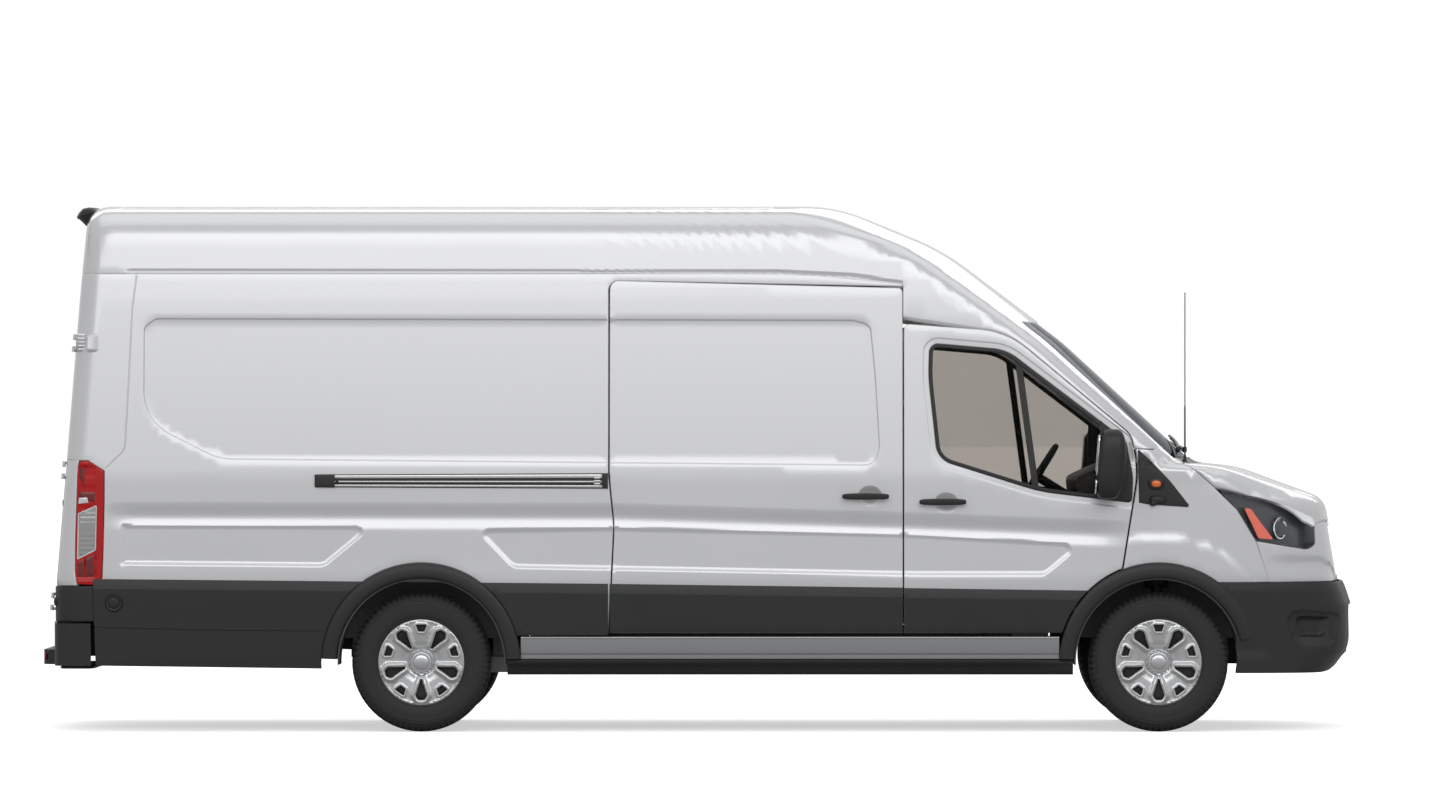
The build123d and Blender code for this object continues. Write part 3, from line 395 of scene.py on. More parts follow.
# Rays in each cross-section from its centre, the angle rising from level on the right; past the front and rear
# pivots they lean forwards or backwards.
def domeRays(u, angle, dome):
    lean = (np.maximum(u - dome["front"], 0) - np.maximum(dome["rear"] - u, 0)) / dome["scale"]
    x = np.clip(u, dome["rear"], dome["front"])
    origin = np.stack([x, np.zeros_like(x), dome["centre"](x)], 1)
    way = np.stack([np.sin(lean), -np.cos(angle) * np.cos(lean), np.sin(angle) * np.cos(lean)], 1)
    return origin, way


def domeSurface(dome):
    return surfaceOf(lambda u, angle: domeRays(u, angle, dome))


# The dome's own (u, angle) of points on the outer form.
def domePoint(x, y, z, dome):
    x, y, z = [np.asarray(side, float) for side in np.broadcast_arrays(x, y, z)]
    held = np.clip(x, dome["rear"], dome["front"])
    rise = z - dome["centre"](held)
    lean = np.arctan2(x - held, np.hypot(y, rise))
    return np.stack([held + lean * dome["scale"], np.arctan2(rise, -y)], 1)


roofDome = {"front": 9.0, "rear": -2.95, "scale": 0.6, "centre": lambda x: 1.3 + 0.95 * smooth((0.9 - x) / 1.5)}
hoodDome = {"front": 2.9, "rear": -9.0, "scale": 1.0, "centre": lambda x: np.full_like(x, 0.5)}
fenderDome = {"front": 9.0, "rear": -9.0, "scale": 1.0, "centre": lambda x: np.full_like(x, 0.9)}


# Stampings in the sides.
def windowOutline(grow=0.0):
    line = roundedLine([(1.205, 1.386, 0.11), (1.16, 1.8, 0.9), (1.165, 1.978, 0.045), (1.555, 1.944, 0.23),
                        (2.162, 1.482, 0.06), (2.197, 1.3, 0.3), (2.192, 1.166, 0.02), (1.725, 1.222, 0.9)])
    return moved(anticlockwise(evenly(line, 0.03)), -grow)


windowLine = windowOutline()
stampings = {
    "band": 0.076, "bandDepth": 0.013, "bandFoot": 0.25, "bandFade": (0.9, 0.25), "bandRear": (-3.06, 0.2),
    "bandFront": (1.95, 0.3), "bandLines": (-0.075, -0.05, -0.025, -0.008, 0.0, 0.02, 0.04, 0.06, 0.076),
    "panel": [(-2.836, 2.06, 0.05), (-2.775, 2.106, 0.05), (0.773, 2.098, 0.08), (0.868, 2.075, 0.05), (0.893, 1.815, 0.9),
              (0.915, 1.441, 0.06), (0.885, 1.352, 0.07), (-2.45, 1.384, 0.3), (-2.836, 1.58, 0.25)],
    "panelDepth": 0.007, "panelSoft": 0.009,
    "rearPocket": [(-2.96, 0.832, 0.03), (-1.905, 0.822, 0.1), (-1.635, 1.045, 0.05), (-1.76, 1.07, 0.1),
                   (-2.96, 1.075, 0.03)],
    "longPocket": [(-1.19, 1.05, 0.05), (-0.962, 0.815, 0.1), (1.035, 0.778, 0.0), (1.76, 0.778, 0.1), (2.0, 0.975, 0.06),
                   (1.035, 1.03, 0.0), (-0.462, 1.062, 0.0)],
    "pocketDepth": 0.012, "pocketSoft": 0.045,
    "cups": [(1.25, 1.165, 0.061, 0.053), (0.862, 1.2, 0.061, 0.053)], "cupDepth": 0.017, "cupPower": 2.6,
    "cupLines": (0.25, 0.45, 0.62, 0.76, 0.88, 0.96, 1.02),
    "windowStep": 0.0035, "windowAway": 0.024, "windowSoft": 0.01,
    "seam": [(-2.843, 2.619), (-2.874, 2.298), (-2.894, 2.146), (-2.909, 1.79), (-2.926, 1.455), (-2.932, 1.434),
             (-2.946, 1.415), (-3.036, 1.328)],
    "seamDepth": 0.005, "seamHalf": 0.0045, "seamLines": (-0.007, -0.0047, -0.0025, 0.0, 0.0025, 0.0047, 0.007),
}
panelLine = anticlockwise(roundedLine(stampings["panel"]))
rearPocket = anticlockwise(roundedLine(stampings["rearPocket"]))
longPocket = anticlockwise(roundedLine(stampings["longPocket"]))
cornerSeam = np.array(stampings["seam"])


# The swage's lower crease: level at the rear, falling gently from the sliding door to the fender.
def creaseHeight(x):
    return np.interp(x, [-3.2, -0.46, 1.035, 2.2], [1.098, 1.092, 1.046, 1.002])


# Depth of the stampings below the plain side: swage, pockets, load-space panel, handle dishes, window
# step and corner seam.
def sideRelief(x, z):
    s = stampings
    points = np.stack([x, z], 1)
    crease = creaseHeight(x)
    ends = ramp(x, *s["bandRear"]) * (1 - ramp(x, *s["bandFront"]))
    above = 1 - smooth((z - crease) / s["band"])
    below = smooth((z - crease + 0.075) / 0.075)
    sink = np.where(z > crease, above, s["bandFoot"] + (1 - s["bandFoot"]) * below)
    fade = 1 - ramp(-z, -s["bandFade"][0], s["bandFade"][1])
    depth = s["bandDepth"] * ends * sink * np.where(z > crease, 1, fade)
    for pocket in (rearPocket, longPocket):
        depth = np.maximum(depth, s["pocketDepth"] * smooth(depthWithin(points, pocket) / s["pocketSoft"]))
    depth = depth + s["panelDepth"] * smooth(depthWithin(points, panelLine) / s["panelSoft"])
    for cx, cz, wide, tall in s["cups"]:
        away = np.hypot((x - cx) / wide, (z - cz) / tall)
        depth = depth + s["cupDepth"] * np.clip(1 - away ** s["cupPower"], 0, 1)
    window = distanceTo(points, windowLine)
    depth = depth + s["windowStep"] * (1 - ramp(window, s["windowAway"], s["windowSoft"]))
    groove = distanceTo(points, cornerSeam, closed=False)
    return depth + s["seamDepth"] * (1 - smooth(groove / s["seamHalf"]))


def rearU(x, z):
    return tableU(x, z, sideSurface, -3.8, -2.3, 400)


# Extra mesh lines along the stampings that cross between two stations.
def featureRings(low, high):
    s = stampings
    lines = ((panelLine, s["panelSoft"]), (rearPocket, s["pocketSoft"]), (longPocket, s["pocketSoft"]))
    rings = [(moved(line, soft * share), True) for line, soft in lines for share in (0.0, 0.25, 0.5, 0.75, 1.0)]
    x = np.linspace(-3.02, 2.2, 90)
    rings += [(np.stack([x, creaseHeight(x) + lift], 1), False) for lift in s["bandLines"]]
    rings += [(moved(evenly(cornerSeam, 0.05, False), aside, False), False) for aside in s["seamLines"]]
    rings += [(circleLine(0, 0, share, steps=49)[:-1] * (wide, tall) + (cx, cz), True)
              for cx, cz, wide, tall in s["cups"] for share in s["cupLines"]]
    rings += [(moved(windowLine, -s["windowAway"] - share * s["windowSoft"]), True) for share in (0.0, 0.5, 1.0)]
    kept = []
    for line, closed in rings:
        line = evenly(line, 0.012 if closed and np.ptp(line[:, 0]) < 0.13 else 0.03, closed)
        if closed:
            line = np.concatenate([line, line[:1]])
        rear = line[:, 0] < -2.6
        if rear.any():
            line[rear, 0] = rearU(line[rear, 0], line[rear, 1])
        kept += heldRuns(line, (line[:, 0] > low) & (line[:, 0] < high))
    return kept


# Gives a node's inputs their values, or links them to the sockets that feed them.
def feed(tree, node, inputs):
    for key, value in inputs.items():
        if isinstance(value, bpy.types.NodeSocket):
            tree.links.new(value, node.inputs[key])
        else:
            node.inputs[key].default_value = value


# A new node with its attributes set and its inputs fed.
def addNode(tree, kind, inputs=(), **settings):
    node = tree.nodes.new("ShaderNode" + kind)
    for key, value in settings.items():
        setattr(node, key, value)
    feed(tree, node, dict(inputs))
    return node


# An empty node group with named sockets.
def newGroup(name, inputs, outputs):
    group = bpy.data.node_groups.new(name, "ShaderNodeTree")
    for label, kind, value in inputs:
        group.interface.new_socket(label, in_out="INPUT", socket_type="NodeSocket" + kind).default_value = value
    for label, kind in outputs:
        group.interface.new_socket(label, in_out="OUTPUT", socket_type="NodeSocket" + kind)
    return group, group.nodes.new("NodeGroupInput").outputs, group.nodes.new("NodeGroupOutput")


# Colour: the tone times 1 plus a slow noise; Roughness: the value plus the same noise, both slight.
def toneDriftGroup():
    group, given, out = newGroup("toneDrift", [("Tone", "Color", (0.8, 0.8, 0.8, 1)), ("Amount", "Float", 0.04),
                                               ("Scale", "Float", 2.0), ("Gloss", "Float", 0.4), ("GlossAmount", "Float", 0.06)],
                                 [("Colour", "Color"), ("Roughness", "Float")])
    place = addNode(group, "TexCoord").outputs["Object"]
    noise = addNode(group, "TexNoise", {"Detail": 5, "Vector": place, "Scale": given["Scale"]}).outputs["Fac"]
    centred = addNode(group, "Math", {0: noise, 1: 0.5}, operation="SUBTRACT").outputs[0]
    tone = addNode(group, "Math", {0: centred, 1: given["Amount"], 2: 1.0}, operation="MULTIPLY_ADD").outputs[0]
    scaled = addNode(group, "VectorMath", {0: given["Tone"], "Scale": tone}, operation="SCALE").outputs[0]
    rough = addNode(group, "Math", {0: centred, 1: given["GlossAmount"], 2: given["Gloss"]}, operation="MULTIPLY_ADD").outputs[0]
    feed(group, out, {"Colour": scaled, "Roughness": rough})
    return group


# Height: fine cells and noise mixed, for moulded plastic, cast metal, rubber and paint texture.
def grainGroup():
    group, given, out = newGroup("grain", [("Scale", "Float", 300.0), ("Cells", "Float", 0.5)], [("Height", "Float")])
    field = {"Vector": addNode(group, "TexCoord").outputs["Object"], "Scale": given["Scale"]}
    noise = addNode(group, "TexNoise", {"Detail": 3, **field}).outputs["Fac"]
    cells = addNode(group, "TexVoronoi", field).outputs["Distance"]
    mix = addNode(group, "Mix", {0: given["Cells"], 2: noise, 3: cells}, data_type="FLOAT").outputs[0]
    feed(group, out, {"Height": mix})
    return group


toneDrift = toneDriftGroup()
grain = grainGroup()


# A painted, moulded, cast or plated finish: drifting tone and gloss, with a fine grain in its normals.
def finish(name, tone, gloss, metal=0.0, coat=0.0, drift=0.04, driftScale=1.5, glossDrift=0.06,
           grainScale=400.0, grainCells=0.4, grainHeight=0.0, grainDistance=0.0004, sockets=()):
    material = bpy.data.materials.new(name)
    material.use_nodes = True
    tree = material.node_tree
    shader = tree.nodes["Principled BSDF"]
    drifting = addNode(tree, "Group", {"Tone": (*tone, 1), "Amount": drift, "Scale": driftScale, "Gloss": gloss,
                                       "GlossAmount": glossDrift}, node_tree=toneDrift).outputs
    feed(tree, shader, {"Base Color": drifting["Colour"], "Roughness": drifting["Roughness"], "Metallic": metal,
                        "Coat Weight": coat, "Coat Roughness": 0.03})
    if grainHeight:
        rough = addNode(tree, "Group", {"Scale": grainScale, "Cells": grainCells}, node_tree=grain).outputs["Height"]
        bump = addNode(tree, "Bump", {"Strength": grainHeight, "Distance": grainDistance, "Height": rough})
        feed(tree, shader, {"Normal": bump.outputs["Normal"]})
    feed(tree, shader, dict(sockets))
    return material


# Settings of tinted sheet glass: light passes straight through with the tone, and the surface keeps its reflections.
def glass(tone, bend=1.12):
    return dict(tone=tone, gloss=0.02, drift=0.05, glossDrift=0.01, sockets=[("Transmission Weight", 1.0), ("IOR", bend)])


finishSettings = {
    "body_paint": dict(tone=(0.71, 0.715, 0.735), gloss=0.3, metal=0.45, coat=1.0, drift=0.02, grainScale=900,
                       grainHeight=0.05, grainDistance=0.0002),
    "trim_plastic": dict(tone=(0.022, 0.023, 0.025), gloss=0.46, grainScale=700, grainHeight=0.35, drift=0.15),
    "sill_paint": dict(tone=(0.4, 0.405, 0.415), gloss=0.38, metal=0.6, grainScale=800, grainHeight=0.06),
    "black_plastic": dict(tone=(0.012, 0.012, 0.013), gloss=0.42, grainScale=600, grainHeight=0.3, drift=0.15),
    "tinted_glass": glass((0.56, 0.535, 0.51)),
    "screen_glass": glass((0.1, 0.125, 0.16), bend=1.04),
    "clear_lens": glass((0.93, 0.94, 0.95)),
    "red_lens": dict(tone=(0.5, 0.004, 0.006), gloss=0.22, coat=0.35, drift=0.25, driftScale=8,
                     sockets=[("Specular IOR Level", 0.25)]),
    "tyre_rubber": dict(tone=(0.02, 0.02, 0.021), gloss=0.62, grainScale=900, grainHeight=0.4, drift=0.25, driftScale=6),
    "wheel_silver": dict(tone=(0.62, 0.625, 0.635), gloss=0.24, metal=0.85, coat=0.4, grainScale=900, grainHeight=0.04),
    "frame_steel": dict(tone=(0.035, 0.036, 0.038), gloss=0.55, metal=0.2, grainScale=300, grainHeight=0.4, drift=0.3),
    "battery_case": dict(tone=(0.11, 0.115, 0.12), gloss=0.45, metal=0.6, grainScale=250, grainHeight=0.3, drift=0.2),
    "drive_metal": dict(tone=(0.22, 0.225, 0.23), gloss=0.42, metal=0.8, grainScale=200, grainHeight=0.5, drift=0.25),
    "cast_steel": dict(tone=(0.07, 0.07, 0.072), gloss=0.55, metal=0.7, grainScale=260, grainHeight=0.6, drift=0.3),
    "cab_plastic": dict(tone=(0.03, 0.031, 0.034), gloss=0.55, grainScale=500, grainHeight=0.4, drift=0.12),
    "seat_cloth": dict(tone=(0.045, 0.046, 0.05), gloss=0.85, grainScale=260, grainCells=0.8, grainHeight=0.6,
                       grainDistance=0.001, drift=0.2),
    "bright_metal": dict(tone=(0.72, 0.72, 0.73), gloss=0.16, metal=1.0, grainScale=500, grainHeight=0.05),
    "amber_lens": dict(tone=(0.9, 0.16, 0.01), gloss=0.15, coat=1.0, drift=0.2, driftScale=20),
    "mirror_glass": dict(tone=(0.75, 0.77, 0.8), gloss=0.03, metal=1.0, drift=0.03),
    "lamp_housing": dict(tone=(0.035, 0.036, 0.04), gloss=0.28, coat=0.4, drift=0.1),
    "amber_reflector": dict(tone=(0.72, 0.1, 0.055), gloss=0.3, coat=1.0, grainScale=220, grainCells=1.0, grainHeight=0.5),
    "pale_lens": dict(tone=(0.72, 0.72, 0.74), gloss=0.15, metal=0.3, coat=1.0, drift=0.05),
    "pane_lens": dict(tone=(0.36, 0.36, 0.36), gloss=0.12, metal=0.2, coat=1.0, drift=0.3, driftScale=9),
    "deep_red": dict(tone=(0.16, 0.002, 0.003), gloss=0.3, coat=0.4, drift=0.3, driftScale=12),
    "liner_felt": dict(tone=(0.17, 0.17, 0.175), gloss=0.85, grainScale=420, grainCells=0.5, grainHeight=0.5, drift=0.2),
    "rim_steel": dict(tone=(0.018, 0.018, 0.019), gloss=0.5, metal=0.3, grainScale=300, grainHeight=0.3, drift=0.3),
}
finishes = {name: finish(name, **settings) for name, settings in finishSettings.items()}
print("finishes ready:", len(finishes))


# Body panels.
panelSet = {"sheet": 0.022, "spacing": 0.04, "edge": 0.004, "slideRear": -0.462, "slideFront": 1.028, "sill": 0.504,
            "flare": 0.506}


def doorOutline():
    p = panelSet
    upper = roundedLine([(1.839, p["sill"]), (1.035, p["sill"]), (1.035, 2.076, 0.03), (1.555, 2.036, 0.42),
                         (2.186, 1.512, 0.11), (2.222, 1.33, 0.5), (2.142, 0.831)], closed=False)
    lower = circleLine(frontAxle, hubHeight, p["flare"] + 0.007, 111.6, 163.0, 30)
    return np.concatenate([upper[1:], lower[1:]])


def slideOutline():
    p = panelSet
    return roundedLine([(p["slideRear"], p["sill"]), (p["slideRear"] + 0.026, 1.05, 0.9), (p["slideRear"], 1.3, 0.9),
                        (p["slideRear"], 2.296, 0.045), (p["slideFront"], 2.258, 0.025), (p["slideFront"], p["sill"])])


# Stampings measured at the surface point itself, so that they follow the side however it is parametrised.
def sideDepth(u, z):
    place = sideSurface(u, z, np.zeros_like(u))
    return sideRelief(place[:, 0], place[:, 2])


# A stamped panel of the right side, with the mesh lines of its stampings kept clear of its edges.
def sidePanelPiece(outline, holes=()):
    low, high = outline[:, 0].min(), outline[:, 0].max()
    kept = []
    for line, _ in featureRings(low + 0.012, high - 0.012):
        clear = inside(line, outline) & (distanceTo(line, outline) > 0.006)
        for hole in holes:
            clear &= ~inside(line, hole) & (distanceTo(line, hole) > 0.006)
        kept += heldRuns(line, clear, 3)
    return shellFrom(outline, list(holes), sideSurface, panelSet["sheet"], panelSet["spacing"], kept, panelSet["edge"],
                     lambda flat: sideDepth(flat[:, 0], flat[:, 1]))


doorSkin = sidePanelPiece(doorOutline(), [windowOutline()])
addPair("doorSkin", doorSkin, "body_paint", "front_door_@", ["front_door_@"])
addPiece("slideSkin", sidePanelPiece(slideOutline()), "body_paint", "body", ["sliding_door_right"])


# The door's inner panel: the same outline drawn in, laid deeper than the skin.
def innerBox(outline, holes, depth):
    return shellFrom(moved(anticlockwise(evenly(outline, 0.03)), 0.034), [moved(hole, -0.012) for hole in holes],
                     lifted(-0.0225), depth, 0.12, (), 0.006)


addPair("doorInner", innerBox(doorOutline(), [windowOutline()], 0.062), "body_paint", "front_door_@")
addPiece("slideInner", innerBox(slideOutline(), [], 0.045), "body_paint")
print("doors done")


# The side panel's edge beside the rear door, from one level to another.
def rearEdge(low, high, steps=24):
    z = np.linspace(low, high, steps)
    y = np.interp(z, [0.0, 1.42, 2.44], [0.8735, 0.8735, 0.7975])
    return np.stack([aroundRear(sternReach(y, z), y), z], 1)


# The tail lamp's front edge, from its foot to its top, with its joint.
def lampEdge():
    rows = [(-3.064, 0.748), (-3.041, 0.776), (-3.036, 0.926), (-3.031, 1.18), (-3.031, 1.328), (-3.112, 1.378)]
    line = evenly(np.array(rows), 0.03, False)
    return np.stack([aroundRear(line[:, 0], sideReach(line[:, 0], line[:, 1])), line[:, 1]], 1)


# The joint with the roof: the upper edge of the side panel, behind the front door.
def gutterEdge(steps=30):
    x = np.linspace(1.031, -2.95, steps)
    z = np.interp(x, [0.3, 0.6, 1.031], [2.331, 2.322, 2.277])
    return np.stack([x, z], 1)


# Rear side panel in the side surface's own measures; on one side it stops at the sliding door.
def quarterOutline(slideCut):
    top = rearEdge(1.384, 2.331, 24)
    lamp = lampEdge() + (0.0015, 0)
    lampTop = [(lamp[-1, 0], 1.38), (aroundRear(sternReach(0.8735, 1.384), 0.8735), 1.384)]
    arch = circleLine(rearAxle, hubHeight, 0.5065, 17, 162, 50)
    edge, sill = panelSet["slideRear"] - 0.007, panelSet["sill"]
    front = [(1.028, sill), (1.028, 1.4)]
    if slideCut:
        front = roundedLine([(edge, sill), (edge + 0.026, 1.05), (edge, 1.3), (edge, 2.296, 0.052), (1.021, 2.266, 0.02),
                             (1.031, 2.2655)], closed=False)
    bottom = [(-1.91, sill), (-2.94, sill), (-3.05, 0.56)]
    cornerTop = np.stack([np.linspace(-2.97, top[-1, 0] + 0.01, 10), np.full(10, 2.331)], 1)
    parts = [[(-3.064, 0.56), (-3.064, 0.742)], lamp, lampTop, top, cornerTop[::-1], gutterEdge()[::-1], front[::-1], arch,
             bottom]
    return np.concatenate(parts)[::-1]


addPiece("quarterPanel_right", sidePanelPiece(quarterOutline(True)), "body_paint")
addPiece("quarterPanel_left", mirrored(sidePanelPiece(quarterOutline(False))), "body_paint")
print("side panels done")


# Points on the bowed front from front-view (y, z) rows.
def bowPoints(rows, step=0.04):
    line = evenly(np.array(rows, float), step, False)
    return bowReach(line[:, 0], line[:, 1]), line[:, 0], line[:, 1]


# Points on the right side from side-view (x, z) rows.
def sidePoints(rows, step=0.04):
    line = evenly(np.array(rows, float), step, False)
    return line[:, 0], -sideReach(line[:, 0], line[:, 1]), line[:, 1]


# The same line on the other half of a dome.
def otherHalf(line):
    return line * (1, -1) + (0, np.pi)


# A closed outline from its right half, which runs from one middle point to the other.
def wholeOutline(half):
    return np.concatenate([half, otherHalf(half)[::-1][1:-1]])


# Points at the given distances across, where the form's middle reaches this far forward.
def bowRing(reach, y):
    x = bodyForm["bowAxis"] + np.sqrt((reach - bodyForm["bowAxis"]) ** 2 - y ** 2)
    return x, y, np.interp(reach, bowTable[::-1, 0], bowTable[::-1, 1])


# Right half of the roof's edge: rear header, gutter, over the front door, pillar foot, windscreen side and top.
def roofHalf():
    header = np.array([(0.0, 2.4475), (-0.74, 2.4475), (-0.785, 2.43), (-0.803, 2.331)])
    header = evenly(header, 0.04, False)
    parts = [domePoint(sternReach(header[:, 0], header[:, 1]), header[:, 0], header[:, 1], roofDome)]
    corner = np.stack([np.linspace(-3.12, -2.97, 5), np.full(5, 2.3315)], 1)
    side = [tuple(row) for row in corner] + [(-2.0, 2.3315), (0.3, 2.3315), (0.6, 2.3225), (1.0315, 2.2775), (1.0315, 2.113)]
    parts.append(domePoint(*sidePoints(side), roofDome))
    doorTop = roundedLine([(1.0315, 2.083), (1.555, 2.043, 0.42), (2.192, 1.516, 0.11), (2.206, 1.4405)], closed=False)
    parts.append(domePoint(*sidePoints(doorTop[1:]), roofDome))
    parts.append(domePoint(*sidePoints([(2.206, 1.4405), (2.3, 1.4405)]), roofDome))
    screen = roundedLine([(-0.86, 1.4405), (-0.7605, 2.0925, 0.07), (0.0, 2.0925)], closed=False)
    parts.append(domePoint(*bowPoints(screen), roofDome))
    return np.concatenate(parts)


roofSet = {"grooves": (-0.6, -0.36, -0.12, 0.12, 0.36, 0.6), "grooveHalf": 0.026, "grooveDepth": 0.008,
           "grooveRear": -3.0, "grooveFront": 0.38, "soft": 0.012, "gutterDepth": 0.01, "gutterHalf": 0.0085,
           "gutterSoft": 0.006, "gutterFront": 1.29, "gutterRear": -2.93}


# Height of the gutter line's middle.
def gutterMiddle(x):
    return np.interp(x, [-2.92, 0.4, 0.771, 1.035, 1.3], [2.338, 2.334, 2.316, 2.284, 2.205])


# Depth of the lengthwise roof grooves and the gutter line.
def roofDepth(place):
    x, y, z = place.T
    r = roofSet
    depth = np.zeros_like(x)
    ends = smooth((x - r["grooveRear"]) / 0.06) * smooth((r["grooveFront"] - x) / 0.06)
    for centre in r["grooves"]:
        depth += r["grooveDepth"] * smooth((r["grooveHalf"] + r["soft"] - np.abs(y - centre)) / r["soft"] / 2) * ends * (z > 2.4)
    half = r["gutterHalf"] * smooth((r["gutterFront"] - x) / 0.5)
    away = np.abs(z - gutterMiddle(x))
    fade = smooth((r["gutterFront"] - x) / 0.25) * ramp(x, r["gutterRear"], 0.03) * (np.abs(y) > 0.5)
    return depth + r["gutterDepth"] * fade * (1 - ramp(away, half, r["gutterSoft"]))


# Stampings measured at the surface point itself, whatever the sheet's own measures.
def surfaceRelief(surface, relief):
    return lambda flat: relief(surface(flat[:, 0], flat[:, 1], np.zeros(len(flat))))


def gutterRings():
    x = np.linspace(-2.93, 1.029, 80)
    rings = []
    for lift in (0.002, 0.008, 0.0145, 0.022):
        z = gutterMiddle(x) + lift
        line = domePoint(x, -sideReach(x, z), z, roofDome)
        rings += [(line, False), (otherHalf(line), False)]
    x = np.linspace(-3.0, 0.38, 60)
    for centre in roofSet["grooves"]:
        for aside in (-0.038, -0.026, -0.014, 0.014, 0.026, 0.038):
            y = np.full_like(x, centre + aside)
            rings.append((domePoint(x, y, 2.69 - y ** 2 / 16, roofDome), False))
    return rings


roofSurface = domeSurface(roofDome)
roofSheet = shellFrom(wholeOutline(roofHalf()), [], roofSurface, 0.022, 0.05, gutterRings(), 0.003,
                      surfaceRelief(roofSurface, roofDepth))
addPiece("roofShell", roofSheet, "body_paint", "body", ["roof_panel", "side_panel_right", "side_panel_left"])
print("roof done")

fenderSurface = domeSurface(fenderDome)


# Between the door, the windscreen pillar, the hood, the lamp, the bumper and the arch lip.
def fenderOutline():
    door = roundedLine([(2.15, 0.829), (2.229, 1.33, 0.5), (2.213, 1.4395)], closed=False)
    parts = [domePoint(*sidePoints(door), fenderDome)]
    parts.append(domePoint(*sidePoints([(2.213, 1.4395), (2.3, 1.4395)]), fenderDome))
    parts.append(domePoint(*bowPoints([(-0.86, 1.4395), (-0.8665, 1.395), (-0.8005, 1.3945)]), fenderDome))
    parts.append(domePoint(*bowRing(2.58, np.linspace(-0.8005, -0.94, 8)), fenderDome))
    hoodSide = [(2.49, 1.352), (2.612, 1.2445), (2.617, 1.24), (2.73, 1.13), (2.824, 0.9715), (2.895, 0.7605)]
    parts.append(domePoint(*sidePoints(hoodSide), fenderDome))
    cut = circleLine(frontAxle, hubHeight, 0.5065, 53.3, 112.0, 40)
    parts.append(domePoint(cut[:, 0], -sideReach(cut[:, 0], cut[:, 1]), cut[:, 1], fenderDome))
    return np.concatenate(parts)[::-1]


# Everything beyond a raised arc round the wheel arch lies a little deeper, fading upwards and forwards.
fenderSet = {"depth": 0.004, "radius": 0.625, "soft": 0.03, "top": 1.36, "front": 3.0}


def fenderDepth(place):
    x, _, z = place.T
    away = np.hypot(x - frontAxle, z - hubHeight)
    f = fenderSet
    return f["depth"] * ramp(away, f["radius"], f["soft"]) * smooth((f["top"] - z) / 0.1) * smooth((f["front"] - x) / 0.2)


fenderSheet = shellFrom(fenderOutline(), [], fenderSurface, 0.02, 0.04, (), 0.004, surfaceRelief(fenderSurface, fenderDepth))
addPair("fenderSkin", fenderSheet, "body_paint", "body", ["fender_@"])

hoodSurface = domeSurface(hoodDome)


# Right half of the hood's edge: middle of the rear edge, rear corner, along the fender, and the front lip.
def hoodHalf():
    parts = [domePoint(*bowRing(2.592, np.linspace(0, -0.955, 30)), hoodDome)]
    edge = roundedLine([(2.515, 1.34), (2.614, 1.252, 0.03), (2.95, 1.17, 0.7), (3.08, 1.11)], closed=False)
    parts.append(domePoint(*sidePoints(edge), hoodDome))
    parts.append(domePoint(*bowPoints([(-0.845, 1.092), (-0.7, 1.078), (-0.45, 1.068), (0.0, 1.066)]), hoodDome))
    return np.concatenate(parts)


# A broad raised middle with a crease each side, falling away towards the fenders.
hoodSet = {"half": 0.6, "narrowing": 0.1, "depth": 0.01, "soft": 0.05, "rise": 0.28}


def hoodDepth(place):
    x, y, _ = place.T
    h = hoodSet
    reach = h["half"] - h["narrowing"] * ramp(x, 2.6, 0.6)
    step = ramp(np.abs(y), reach, h["soft"])
    ends = ramp(x, 2.62, 0.1) * smooth((3.2 - x) / 0.12)
    return h["depth"] * step * (1 - smooth((np.abs(y) - reach - 0.06) / h["rise"])) * ends


hoodSheet = shellFrom(wholeOutline(hoodHalf()), [], hoodSurface, 0.018, 0.04, (), 0.004, surfaceRelief(hoodSurface, hoodDepth))
addPiece("hoodSkin", hoodSheet, "body_paint", "hood", ["hood"])
print("front panels done")


# Flips a closed form whose signed volume, the sum of a . (b x c) over a fan of each face, is negative.
def outward(verts, faces):
    verts = np.asarray(verts, float)
    faces = [list(face) for face in faces]
    fan = np.array([(face[0], face[i], face[i + 1]) for face in faces for i in range(1, len(face) - 1)])
    a, b, c = verts[fan[:, 0]], verts[fan[:, 1]], verts[fan[:, 2]]
    volume = np.einsum("ij,ij->i", a, np.cross(b, c)).sum()
    return verts, faces if volume > 0 else [face[::-1] for face in faces]


def joinMeshes(meshes):
    verts, faces, total = [], [], 0
    for points, polygons in [made[:2] for made in meshes]:
        verts.append(np.asarray(points, float))
        faces += [tuple(int(i) + total for i in face) for face in polygons]
        total += len(points)
    return np.concatenate(verts), faces


# Joins closed sections of equal count into a tube, capped at both ends or closed on itself.
def loftMesh(sections, closed=False):
    count, points = sections.shape[:2]
    faces = [tuple(face) for face in gridFaces(count, points, closeRows=closed, closeColumns=True).tolist()]
    if not closed:
        faces.append(tuple(range(points)))
        faces.append(tuple(range((count - 1) * points, count * points))[::-1])
    return outward(sections.reshape(-1, 3), faces)


